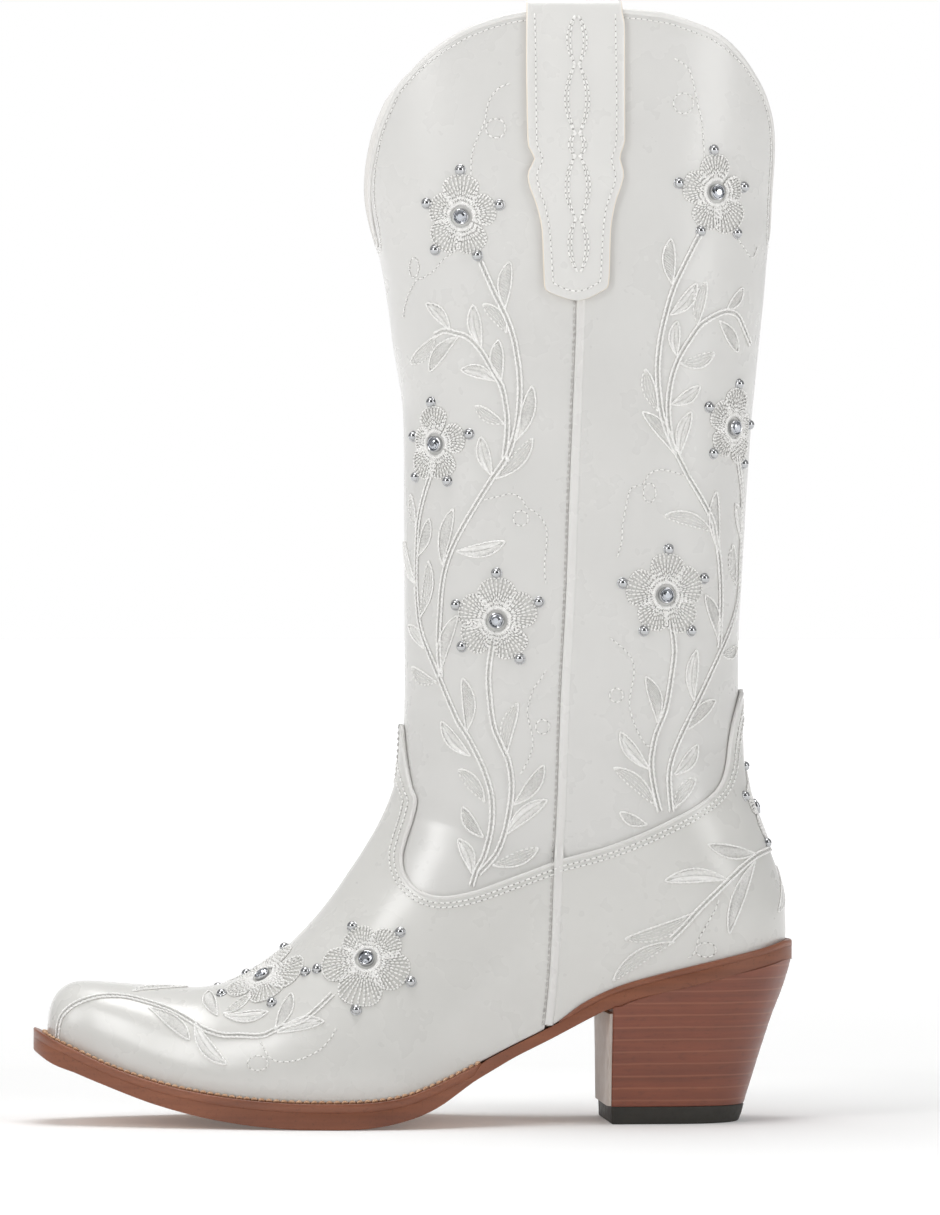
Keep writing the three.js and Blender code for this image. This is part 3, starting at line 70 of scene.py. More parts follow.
LEAF_SHAFT = [[[33.5,321.6],[31.9,304.2]],[[3.3,306.5],[11.9,296.2]],[[-1.8,284.3],[6.9,294.4]],[[4.8,280.9],[14.9,293.8]],[[20.2,305.7],[23.3,289.5]],[[23.7,305.9],[32.5,294.9]],[[29.4,292.6],[30.5,277.0]],[[15.8,281.5],[28.7,277.2]],[[21.1,268.2],[31.8,261.3]],[[41.8,275.4],[35.4,254.6]],[[23.2,256.7],[27.3,242.1]],[[42.1,255.9],[28.3,240.8]],[[13.3,229.9],[9.5,208.6]],[[32.1,217.6],[14.4,214.0]],[[-1.3,235.6],[0.5,222.9]],[[4.9,226.3],[1.0,212.1]],[[-3.0,217.9],[0.5,201.7]],[[4.7,210.6],[1.8,189.2]],[[15.0,190.3],[8.8,168.6]],[[-2.0,186.3],[3.1,177.7]],[[-1.0,170.8],[7.7,165.2]],[[16.7,166.9],[17.9,146.3]],[[9.2,150.7],[19.8,137.7]],[[15.3,132.9],[24.9,120.5]],[[16.8,118.9],[24.4,107.4]],[[15.0,106.8],[19.9,93.9]],[[36.9,157.6],[32.8,138.3]],[[46.5,134.6],[35.2,119.5]],[[47.9,121.6],[32.7,108.5]],[[44.6,103.6],[27.4,97.0]],[[93.6,330.4],[94.3,313.1]],[[103.6,313.9],[93.3,301.8]],[[107.4,314.6],[104.0,298.0]],[[122.3,312.8],[115.4,304.2]],[[96.1,299.8],[96.1,286.6]],[[110.8,288.1],[97.1,283.9]],[[120.3,288.4],[112.5,300.1]],[[105.2,275.8],[93.8,268.6]],[[84.1,281.8],[89.0,265.9]],[[82.8,265.9],[95.9,249.4]],[[101.8,266.1],[97.3,250.0]],[[91.2,227.2],[110.2,221.3]],[[111.9,236.6],[113.1,214.0]],[[119.8,232.1],[122.5,217.4]],[[118.8,216.7],[120.6,201.3]],[[107.4,197.9],[113.0,180.6]],[[104.3,177.3],[103.3,158.0]],[[121.5,178.2],[114.5,175.2]],[[112.0,158.5],[100.5,147.3]],[[104.8,141.9],[95.5,130.7]],[[103.9,129.6],[95.4,118.1]],[[84.5,167.4],[89.0,150.0]],[[74.8,146.8],[85.9,132.8]],[[72.4,133.5],[88.5,118.8]],[[74.8,116.9],[85.2,112.2]]]
LEAF_FOOT = [[[107.4,104.4],[125.7,100.4]],[[91.4,91.3],[114.8,91.1]],[[76.5,69.7],[102.5,79.6]],[[115.5,71.5],[125.6,97.8]],[[134.6,78.8],[136.4,94.9]],[[72.4,54.2],[95.5,68.7]],[[-84.5,31.6],[-100.0,42.8]],[[-71.0,23.4],[-82.6,37.5]],[[-84.4,49.1],[-105.7,48.0]],[[-46.6,48.9],[-53.3,35.8]],[[-35.5,39.2],[-52.7,34.7]],[[-61.3,47.9],[-72.1,40.5]],[[-76.7,47.9],[-73.9,39.9]],[[-55.3,42.0],[-71.6,40.2]]]
CURL_SHAFT = [[[19.0,353.3],[19.3,360.8],[21.1,366.7],[23.9,372.9],[24.6,377.4],[26.1,381.9],[29.1,385.6],[33.2,387.3]],[[31.6,370.7],[31.1,368.9],[29.8,367.5],[28.0,367.1],[26.2,367.6],[24.9,368.9],[24.4,370.7],[24.9,372.5],[26.2,373.8],[28.0,374.3],[29.8,373.8],[31.1,372.5],[31.6,370.7]],[[14.0,325.9],[9.0,322.2],[6.2,318.6],[2.6,316.1],[-0.0,315.2],[-0.9,314.0],[-2.6,310.4],[-3.9,306.2],[-4.5,301.4]],[[0.6,319.6],[0.4,317.7],[-0.2,316.4],[-1.0,315.9],[-1.9,316.5],[-2.5,317.9],[-2.7,319.8],[-2.5,321.6],[-2.0,323.0],[-1.1,323.5],[-0.3,322.9],[0.4,321.5],[0.6,319.6]],[[24.3,233.0],[29.9,234.4],[34.9,235.2],[38.3,232.9],[39.9,230.1],[42.8,228.7],[45.6,225.6],[47.3,221.6],[47.0,214.7],[46.4,208.5],[47.0,201.7]],[[40.5,226.1],[40.1,224.7],[39.1,223.7],[37.7,223.3],[36.3,223.7],[35.3,224.7],[34.9,226.1],[35.2,227.6],[36.3,228.6],[37.7,229.0],[39.1,228.6],[40.1,227.6],[40.5,226.1]],[[47.1,169.9],[45.2,166.4],[42.3,162.5],[40.9,157.3],[40.3,153.4],[42.3,144.0],[41.6,138.8],[39.3,133.6],[37.7,131.0]],[[48.6,148.7],[48.2,147.4],[47.3,146.4],[45.9,146.0],[44.6,146.4],[43.6,147.4],[43.3,148.7],[43.6,150.0],[44.6,151.0],[45.9,151.4],[47.2,151.0],[48.2,150.0],[48.6,148.7]],[[94.7,397.1],[99.8,393.8],[101.8,388.6],[103.8,379.5],[105.4,373.5],[106.3,360.7]],[[102.0,380.6],[101.5,378.7],[100.1,377.3],[98.1,376.7],[96.2,377.2],[94.7,378.5],[94.2,380.4],[94.7,382.3],[96.1,383.7],[98.1,384.3],[100.1,383.8],[101.5,382.5],[102.0,380.6]],[[118.8,332.1],[122.5,327.4],[126.0,323.9],[128.1,328.1]],[[99.4,242.1],[95.2,243.4],[89.7,244.3],[85.6,242.7],[83.2,239.0],[78.8,237.3],[77.2,232.7],[75.5,223.1],[75.2,217.2],[73.5,211.8]],[[88.1,235.7],[87.8,233.9],[86.9,232.5],[85.7,232.1],[84.5,232.5],[83.6,233.9],[83.3,235.7],[83.6,237.5],[84.4,238.8],[85.6,239.3],[86.9,238.9],[87.7,237.5],[88.1,235.7]],[[70.9,181.7],[75.7,178.0],[79.1,174.0],[80.1,168.7],[78.8,161.4],[78.4,155.4],[81.2,147.4],[84.3,142.1],[86.3,141.4]],[[76.0,160.4],[75.7,159.1],[74.7,158.1],[73.4,157.8],[72.1,158.1],[71.1,159.1],[70.8,160.4],[71.1,161.7],[72.1,162.6],[73.4,163.0],[74.7,162.6],[75.7,161.7],[76.0,160.4]]]
CURL_FOOT = [[[111.5,84.1],[110.3,80.6],[107.5,75.5],[104.1,69.2],[103.0,64.7],[100.4,62.4]],[[110.8,65.5],[110.3,64.1],[108.9,63.1],[107.0,62.8],[105.1,63.2],[103.7,64.2],[103.2,65.6],[103.7,66.9],[105.1,67.9],[107.0,68.3],[108.9,67.9],[110.3,66.9],[110.8,65.5]],[[-58.9,31.7],[-56.3,27.1],[-53.5,25.1],[-48.8,24.9],[-43.6,26.1],[-37.7,29.0],[-33.6,33.1],[-31.4,36.9]],[[-56.1,24.2],[-56.6,22.9],[-58.0,21.9],[-59.9,21.6],[-61.8,21.9],[-63.2,22.8],[-63.7,24.1],[-63.1,25.4],[-61.7,26.4],[-59.8,26.8],[-58.0,26.5],[-56.6,25.5],[-56.1,24.2]]]


# ------------------------------------------------------------------ the last surface, vectorised
PIVOT = (-74.4, 141.3)
TIP_X = -135.4
TOP_Z = 420.0
HEEL_PHI = 19.44
lerp = lambda a, b, t: a + (b - a) * t
def smooth(a, b, x):
    t = np.clip((np.asarray(x, float) - a) / (b - a), 0, 1)
    return t * t * (3 - 2 * t)
def unit(v):
    v = np.asarray(v, float)
    return v / np.maximum(np.linalg.norm(v, axis=-1, keepdims=True), 1e-12)

class Table:
    def __init__(self, T):
        s = sorted([list(map(float, p)) for p in T], key=lambda p: p[0])
        n = len(s)
        m = []
        for i in range(n):
            if i == 0:
                m.append((s[1][1] - s[0][1]) / (s[1][0] - s[0][0]))
            elif i == n - 1:
                m.append((s[-1][1] - s[-2][1]) / (s[-1][0] - s[-2][0]))
            else:
                a = (s[i][1] - s[i - 1][1]) / (s[i][0] - s[i - 1][0])
                b = (s[i + 1][1] - s[i][1]) / (s[i + 1][0] - s[i][0])
                m.append(0.0 if a * b <= 0 else 2 * a * b / (a + b))
        self.x, self.y, self.m = np.array([p[0] for p in s]), np.array([p[1] for p in s]), np.array(m)
    def __call__(self, x):
        x = np.clip(np.asarray(x, float), self.x[0], self.x[-1])
        i = np.clip(np.searchsorted(self.x, x, side="right") - 1, 0, len(self.x) - 2)
        h = self.x[i + 1] - self.x[i]
        t = (x - self.x[i]) / h
        t2, t3 = t * t, t * t * t
        return (2 * t3 - 3 * t2 + 1) * self.y[i] + (t3 - 2 * t2 + t) * h * self.m[i] + (3 * t2 - 2 * t3) * self.y[i + 1] + (t3 - t2) * h * self.m[i + 1]

def curve(P, per=8):
    out = []
    for i in range(len(P) - 1):
        a, b, c, d = P[max(0, i - 1)], P[i], P[i + 1], P[min(len(P) - 1, i + 2)]
        for k in range(per):
            t = k / per
            t2, t3 = t * t, t * t * t
            out.append([0.5 * (2 * b[j] + (c[j] - a[j]) * t + (2 * a[j] - 5 * b[j] + 4 * c[j] - d[j]) * t2 + (3 * b[j] - a[j] - 3 * c[j] + d[j]) * t3) for j in range(len(b))])
    out.append(list(P[-1]))
    return out

front_line, back_line, foot_line = curve(FRONT), curve(BACK), curve(FOOT)
FL, OL = np.array(front_line), np.array(back_line + foot_line)
w_lat, w_med, centre_y, w_shaft, w_fan, ridge, heel_r = [Table(t) for t in (W_LAT, W_MED, CENTRE_Y, W_SHAFT, W_FAN, RIDGE, HEEL_R)]
foot_z, sole_z = Table(FOOT), Table(SOLE_BOTTOM)
at_z = lambda L: Table([[p[1], p[0]] for i, p in enumerate(L) if i % 4 == 0])
back_x, front_x = at_z(back_line), at_z([p for p in front_line if p[1] > 60])
seam_x = Table([[p[1], p[0]] for p in SEAM])
back_xz = lambda z: np.where(np.asarray(z) < 66.04, 139.0, back_x(z))
def seat_z(x):
    x = np.asarray(x, float)
    return np.where(x > 133.7, lerp(64.6, 66.04, np.clip((x - 133.7) / 5.05, 0, 1)), foot_z(np.maximum(x, TIP_X)))

def hit(L, O, d, last):
    A = L - np.array(O)
    c = A[:, 0] * d[1] - A[:, 1] * d[0]
    ca, cb = c[:-1], c[1:]
    ok = ~(((ca > 0) == (cb > 0)) & (ca != 0) & (cb != 0))
    t = ca / np.where(np.abs(ca - cb) < 1e-12, 1e-12, ca - cb)
    r = (A[:-1, 0] + (A[1:, 0] - A[:-1, 0]) * t) * d[0] + (A[:-1, 1] + (A[1:, 1] - A[:-1, 1]) * t) * d[1]
    r = r[ok & (r >= 0)]
    return None if len(r) == 0 else (r.max() if last else r.min())

NL = 3000
LS = np.linspace(0, 3, NL + 1)
LA, LB, LPHI = np.zeros((NL + 1, 2)), np.zeros((NL + 1, 2)), np.zeros(NL + 1)
for i, s in enumerate(LS):
    if s <= 1:
        O, d, phi = (PIVOT[0], lerp(TOP_Z, PIVOT[1], s)), (1.0, 0.0), 0.0
    elif s <= 2:
        a = (s - 1) * math.pi / 2
        O, d, phi = PIVOT, (math.cos(a), -math.sin(a)), (s - 1) * 90
    else:
        O, d, phi = (PIVOT[0] + (TIP_X - PIVOT[0]) * math.sin(min(1, s - 2) * math.pi / 2), PIVOT[1]), (0.0, -1.0), 90.0
    ra, rb = hit(FL, O, d, False), hit(OL, O, d, True)
    ra, rb = (107.9 if ra is None else ra), (109.5 if rb is None else rb)
    LA[i], LB[i], LPHI[i] = (O[0] + ra * d[0], O[1] + ra * d[1]), (O[0] + rb * d[0], O[1] + rb * d[1]), phi

def section(s):
    s = np.clip(s, 0, 3)
    return (np.interp(s, LS, LA[:, 0]), np.interp(s, LS, LA[:, 1]), np.interp(s, LS, LB[:, 0]), np.interp(s, LS, LB[:, 1]), np.interp(s, LS, LPHI))
def toe_round(x):
    q = np.clip((np.asarray(x, float) - TIP_X) / 7.5, 0, 1)
    return np.maximum(1 - (1 - q) ** 2.6, 0) ** (1 / 2.6)
def heel_round(x, z):
    half = np.where(z >= PIVOT[1], (back_xz(z) - front_x(z)) / 2, heel_r(z))
    q = np.clip((back_xz(z) - x) / half, 0, 1)
    return np.maximum(1 - (1 - q) ** 2.15, 0) ** (1 / 2.15)
def soft(s, t, side):
    """Slight unevenness of the stuffed shaft leather, as a share of the half width."""
    k = smooth(1.75, 1.2, s) * smooth(0.0, 0.25, s)
    a = 0.0035 * np.sin(9.0 * s + 4.1 * t + 0.7 * side) + 0.003 * np.sin(17.0 * s - 7.0 * t + 1.3) + 0.0022 * np.sin(31.0 * s + 11.0 * t * side + 2.1)
    dent = -0.012 * np.exp(-((s - 0.50) / 0.045) ** 2 - ((np.abs(t) - 0.16) / 0.13) ** 2) - 0.010 * np.exp(-((s - 0.60) / 0.04) ** 2 - ((np.abs(t) - 0.34) / 0.12) ** 2) - 0.012 * np.exp(-((s - 0.83) / 0.035) ** 2 - ((np.abs(t) - 0.3) / 0.2) ** 2)
    return 1 + k * (a + dent)
def S(s, t, side=-1):
    s, t, side = np.broadcast_arrays(np.asarray(s, float), np.asarray(t, float), np.asarray(side, float))
    side = np.where(t < 0, -side, side)
    t = np.abs(t)
    ax, az, bx, bz, phi = section(s)
    over = (t > 1) & (phi < HEEL_PHI)
    side = np.where(over, -side, side)
    t = np.minimum(np.where(over, 2 - t, t), 1.0)
    spread = 1 - 0.5 * smooth(14, 45, phi)
    c = np.pi * spread
    tau = np.clip((1 - np.cos(c * t)) / (1 - np.cos(c)), 0, 1)
    x, z = lerp(ax, bx, tau), lerp(az, bz, tau)
    foot = np.where(side < 0, w_lat(bx), w_med(bx))
    up = s <= 1
    W = np.where(up, w_shaft(z), np.where(phi < 60, lerp(w_fan(phi), foot * 1.015, smooth(48, 60, phi)), foot * 1.015))
    nu = lerp(2.15, 2.3, smooth(300, 400, z))
    n = np.where(up, nu, lerp(2.15, 2.0, smooth(5, 40, phi)))
    m = np.where(up, nu, lerp(2.15, 1.8, smooth(5, 40, phi)))
    fore = s > 2
    n = np.where(fore, lerp(2.0, 2.4, smooth(85, 115, -x)), n)
    m = np.where(fore, lerp(1.8, 2.2, smooth(85, 115, -x)), m)
    k = ridge(phi)
    q = np.clip(tau / k, 0, 1)
    dome = np.maximum(1 - (1 - q) ** n, 0) ** (1 / m)
    below = smooth(14, 24, phi) * smooth(0, 1, (tau - k) / (1 - k))
    half = W * dome * lerp(1, foot / W, below) * heel_round(x, z) * toe_round(x) * soft(s, t, side)
    return np.stack([x, centre_y(x) + side * half, z], axis=-1)
def to_st(x, z):
    x, z = np.broadcast_arrays(np.asarray(x, float), np.asarray(z, float))
    s1 = (TOP_Z - z) / (TOP_Z - PIVOT[1])
    s2 = 1 + np.arctan2(np.maximum(PIVOT[1] - z, 0), np.maximum(x - PIVOT[0], 1e-9)) / (np.pi / 2)
    s3 = 2 + np.arcsin(np.clip((x - PIVOT[0]) / (TIP_X - PIVOT[0]), 0, 1)) / (np.pi / 2)
    s = np.where(z >= PIVOT[1], s1, np.where(x > PIVOT[0], s2, s3))
    ax, az, bx, bz, phi = section(s)
    dx, dz = bx - ax, bz - az
    tau = np.clip(((x - ax) * dx + (z - az) * dz) / (dx * dx + dz * dz), 0, 1)
    c = np.pi * (1 - 0.5 * smooth(14, 45, phi))
    return s, np.arccos(np.clip(1 - tau * (1 - np.cos(c)), -1, 1)) / c
def xz(P, side=-1):
    """Points (x, z) of the side plane on the last."""
    P = np.asarray(P, float)
    s, t = to_st(P[..., 0], P[..., 1])
    return S(s, t, side)

# one dense skin of the last, to lay thread and hardware on
def skin_grid():
    ss = np.concatenate([np.linspace(0, 1, 190, endpoint=False), np.linspace(1, 2, 150, endpoint=False), np.linspace(2, 2.985, 60)])
    tt = np.linspace(-1, 1, 221)
    V = S(ss[:, None], tt[None, :], -1)
    n, m = V.shape[:2]
    idx = np.arange(n * m).reshape(n, m)
    Q = np.stack([idx[:-1, :-1], idx[:-1, 1:], idx[1:, 1:], idx[1:, :-1]], -1).reshape(-1, 4)
    return V.reshape(-1, 3), Q
SV, SQ = skin_grid()
def area_normals(V, F):
    N = np.zeros_like(V)
    if F.shape[1] == 4:
        n = np.cross(V[F[:, 2]] - V[F[:, 0]], V[F[:, 3]] - V[F[:, 1]])
    else:
        n = np.cross(V[F[:, 1]] - V[F[:, 0]], V[F[:, 2]] - V[F[:, 0]])
    for k in range(F.shape[1]):
        np.add.at(N, F[:, k], n)
    return N
def merge(V, F, tol=0.02):
    key = np.round(V / tol).astype(np.int64)
    _, first, inv = np.unique(key, axis=0, return_index=True, return_inverse=True)
    inv = inv.reshape(-1)
    V2, F2 = V[first], inv[F]
    if F.shape[1] == 3:
        ok = (F2[:, 0] != F2[:, 1]) & (F2[:, 1] != F2[:, 2]) & (F2[:, 0] != F2[:, 2])
        F2 = F2[ok]
    return V2, F2
_st = np.concatenate([SQ[:, [0, 1, 2]], SQ[:, [0, 2, 3]]])
SKV, SKT = merge(SV, _st)
SKN = unit(area_normals(SKV, SKT))
def centre_line(P):
    """A point inside the boot at the height or station of P, to tell outwards from inwards."""
    s, t = to_st(P[:, 0], P[:, 2])
    ax, az, bx, bz, phi = section(s)
    return np.stack([(ax + bx) / 2, centre_y((ax + bx) / 2), (az + bz) / 2], -1)
if np.mean(np.sum(SKN * (SKV - centre_line(SKV)), 1) > 0) < 0.5:
    SKN, SKT = -SKN, SKT[:, ::-1]
BVH = BVHTree.FromPolygons([Vector(v) for v in SKV], [tuple(map(int, f)) for f in SKT], all_triangles=True, epsilon=0.0)
def drop(P, o=0.0):
    """Nearest points of the last to P, lifted by o, with their smooth normals."""
    P = np.atleast_2d(np.asarray(P, float))
    out, nor = np.zeros_like(P), np.zeros_like(P)
    for i, p in enumerate(P):
        loc, fn, fi, dist = BVH.find_nearest(Vector(p))
        a, b, c = SKT[fi]
        A, B, C = SKV[a], SKV[b], SKV[c]
        l = np.array(loc)
        v0, v1, v2 = B - A, C - A, l - A
        d00, d01, d11, d20, d21 = v0 @ v0, v0 @ v1, v1 @ v1, v2 @ v0, v2 @ v1
        den = max(d00 * d11 - d01 * d01, 1e-12)
        v, w = (d11 * d20 - d01 * d21) / den, (d00 * d21 - d01 * d20) / den
        n = SKN[a] * (1 - v - w) + SKN[b] * v + SKN[c] * w
        nor[i] = n / (np.linalg.norm(n) or 1)
        out[i] = l
    o = np.asarray(o, float)
    return out + nor * (o[:, None] if o.ndim else o), nor

# ------------------------------------------------------------------ mesh making
def make(name, V, faces, mats, replaces=(), smooth_on=True, mat_of=None, sharp=None):
    """faces: list of arrays (n,3) or (n,4). mats: list of materials. mat_of: list of material indices, one array or int per face array."""
    V = (np.asarray(V, float) + SHIFT) * MM
    me = bpy.data.meshes.new(name)
    faces = [np.asarray(f, np.int32) for f in faces if len(f)]
    nl = sum(f.size for f in faces)
    nf = sum(len(f) for f in faces)
    me.vertices.add(len(V))
    me.vertices.foreach_set("co", V.astype(np.float32).ravel())
    me.loops.add(nl)
    me.polygons.add(nf)
    me.loops.foreach_set("vertex_index", np.concatenate([f.ravel() for f in faces]).astype(np.int32))
    starts, at = [], 0
    for f in faces:
        starts.append(at + np.arange(len(f)) * f.shape[1])
        at += f.size
    me.polygons.foreach_set("loop_start", np.concatenate(starts).astype(np.int32))
    for m in mats:
        me.materials.append(m)
    if mat_of is not None:
        mi = np.concatenate([np.full(len(f), k, np.int32) if np.isscalar(k) else np.asarray(k, np.int32) for f, k in zip(faces, mat_of)])
        me.polygons.foreach_set("material_index", mi)
    me.polygons.foreach_set("use_smooth", np.full(nf, bool(smooth_on)))
    me.update(calc_edges=True)
    me.validate()
    if sharp:
        me.set_sharp_from_angle(angle=math.radians(sharp))
    ob = bpy.data.objects.new(name, me)
    bpy.context.scene.collection.objects.link(ob)
    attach(ob, "root")
    if replaces:
        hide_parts(*replaces)
    return ob

class Bag:
    """Collects many small closed shapes into one piece."""
    def __init__(self):
        self.V, self.Q, self.T, self.n = [], [], [], 0
        self.parts = []
    def add(self, V, Q=None, T=None):
        V = np.asarray(V, float).reshape(-1, 3)
        self.parts.append((V, Q, T))
        if Q is not None and len(Q):
            self.Q.append(np.asarray(Q).reshape(-1, 4) + self.n)
        if T is not None and len(T):
            self.T.append(np.asarray(T).reshape(-1, 3) + self.n)
        self.V.append(V)
        self.n += len(V)
    def faces(self):
        return [np.concatenate(x) for x in (self.Q, self.T) if x]
    def make(self, name, mat, slot, replaces=(), sharp=None):
        return make(name, np.concatenate(self.V), self.faces(), [mat], replaces, sharp=sharp)
    def make_split(self, name, mat, slot, most=150000):
        """The same as several pieces, each with few enough triangles."""
        bag, tris, k = Bag(), 0, 1
        for V, Q, T in self.parts:
            n = 2 * (0 if Q is None else len(Q)) + (0 if T is None else len(T))
            if tris and tris + n > most:
                bag.make(name + "_" + str(k), mat, slot)
                bag, tris, k = Bag(), 0, k + 1
            bag.add(V, Q, T)
            tris += n
        bag.make(name + "_" + str(k), mat, slot)

def stitches(bag, P0, P1, N, r, arch=0.9, sides=6, lift=0.15):
    """Threads from P0 to P1, each arched up off the surface, all at once."""
    P0, P1, N = [np.atleast_2d(np.asarray(a, float)) for a in (P0, P1, N)]
    n = len(P0)
    if n == 0:
        return
    r = np.broadcast_to(np.asarray(r, float), (n,))
    D = unit(P1 - P0)
    W = unit(np.cross(N, D))
    U = unit(np.cross(D, W))
    f = np.array([0.0, 0.07, 0.24, 0.5, 0.76, 0.93, 1.0])
    k = np.array([0.28, 0.72, 0.98, 1.04, 0.98, 0.72, 0.28])
    h = 4 * f * (1 - f) * arch
    a = np.arange(sides) * 2 * np.pi / sides
    C = P0[:, None] + (P1 - P0)[:, None] * f[None, :, None] + N[:, None] * ((h * 1.0 + lift)[None, :, None] * r[:, None, None])
    V = C[:, :, None] + (W[:, None, None] * np.cos(a)[None, None, :, None] + U[:, None, None] * np.sin(a)[None, None, :, None]) * (r[:, None, None, None] * k[None, :, None, None])
    R = len(f)
    idx = np.arange(R * sides).reshape(R, sides)
    q = np.stack([idx[:-1], np.roll(idx[:-1], -1, 1), np.roll(idx[1:], -1, 1), idx[1:]], -1).reshape(-1, 4)
    t = []
    for i in range(1, sides - 1):
        t.append([0, i + 1, i])
        e = (R - 1) * sides
        t.append([e, e + i, e + i + 1])
    t = np.array(t)
    off = (np.arange(n) * R * sides)[:, None, None]
    bag.add(V.reshape(-1, 3), (q[None] + off).reshape(-1, 4), (t[None] + off).reshape(-1, 3))

def beads(bag, P, N, r, squash=0.75, seg=8):
    """Small round knots."""
    P, N = np.atleast_2d(P), np.atleast_2d(N)
    n = len(P)
    if n == 0:
        return
    r = np.broadcast_to(np.asarray(r, float), (n,))
    ref = np.where(np.abs(N[:, 2:3]) < 0.8, np.array([[0, 0, 1.0]]), np.array([[1.0, 0, 0]]))
    U = unit(np.cross(ref, N))
    W = np.cross(N, U)
    lat = np.radians([-25, 8, 38, 65])
    a = np.arange(seg) * 2 * np.pi / seg
    V = P[:, None, None] + (U[:, None, None] * np.cos(a)[None, None, :, None] + W[:, None, None] * np.sin(a)[None, None, :, None]) * (np.cos(lat)[None, :, None, None] * r[:, None, None, None]) + N[:, None, None] * (np.sin(lat)[None, :, None, None] * squash * r[:, None, None, None])
    V = V.reshape(n, -1, 3)
    tip = P[:, None] + N[:, None] * (squash * r[:, None, None])
    bot = P[:, None] - N[:, None] * (0.3 * r[:, None, None])
    V = np.concatenate([V, tip, bot], 1)
    R = len(lat)
    idx = np.arange(R * seg).reshape(R, seg)
    q = np.stack([idx[:-1], np.roll(idx[:-1], -1, 1), np.roll(idx[1:], -1, 1), idx[1:]], -1).reshape(-1, 4)
    t = [[idx[-1, i], idx[-1, (i + 1) % seg], R * seg] for i in range(seg)] + [[idx[0, (i + 1) % seg], idx[0, i], R * seg + 1] for i in range(seg)]
    off = (np.arange(n) * (R * seg + 2))[:, None, None]
    bag.add(V.reshape(-1, 3), (q[None] + off).reshape(-1, 4), (np.array(t)[None] + off).reshape(-1, 3))

def resample(P, step, closed=False):
    P = np.asarray(P, float)
    if closed:
        P = np.concatenate([P, P[:1]])
    L = np.concatenate([[0], np.cumsum(np.linalg.norm(np.diff(P, axis=0), axis=1))])
    n = max(1, int(round(L[-1] / step)))
    u = np.linspace(0, L[-1], n + 1)
    out = np.stack([np.interp(u, L, P[:, k]) for k in range(P.shape[1])], -1)
    return out[:-1] if closed else out
def bezier_smooth(P, per=10):
    return np.array(curve([list(map(float, p)) for p in P], per))

def sweep(P, N, profile, closed=False, scale=None, ends=True):
    """A closed section (a across, b along the normal) carried along P. Returns V, quads, tris."""
    P, N = np.asarray(P, float), np.asarray(N, float)
    n, m = len(P), len(profile)
    if closed:
        T = unit(np.roll(P, -1, 0) - np.roll(P, 1, 0))
    else:
        T = unit(np.gradient(P, axis=0))
    A = unit(np.cross(N, T))
    pr = np.asarray(profile, float)
    k = np.ones(n) if scale is None else np.asarray(scale, float)
    V = P[:, None] + A[:, None] * (pr[None, :, 0:1] * k[:, None, None]) + N[:, None] * (pr[None, :, 1:2] * k[:, None, None])
    idx = np.arange(n * m).reshape(n, m)
    a, b = (idx, np.roll(idx, -1, 0)) if closed else (idx[:-1], idx[1:])
    Q = np.stack([a, np.roll(a, -1, 1), np.roll(b, -1, 1), b], -1).reshape(-1, 4)[:, ::-1]
    T3 = []
    V = V.reshape(-1, 3)
    if not closed and ends:
        V = np.concatenate([V, V[:m].mean(0, keepdims=True), V[(n - 1) * m:n * m].mean(0, keepdims=True)])
        for i in range(m):
            T3.append([n * m, i, (i + 1) % m])
            T3.append([n * m + 1, (n - 1) * m + (i + 1) % m, (n - 1) * m + i])
    return V, Q, np.array(T3).reshape(-1, 3)
def ring_profile(rx, ry=None, n=10, lift=0.0):
    ry = ry or rx
    a = np.arange(n) * 2 * np.pi / n
    return np.stack([rx * np.cos(a), lift + ry * np.sin(a)], -1)
def cord(bag, P, N, r, lift=0.4, n=8, taper=0.0):
    P, N = np.asarray(P, float), np.asarray(N, float)
    k = np.ones(len(P))
    if taper:
        e = max(2, int(taper))
        k[:e] = np.linspace(0.3, 1, e)
        k[-e:] = np.minimum(k[-e:], np.linspace(1, 0.3, e))
    V, Q, T = sweep(P, N, ring_profile(r, r, n, lift * r), scale=k)
    bag.add(V, Q, T)

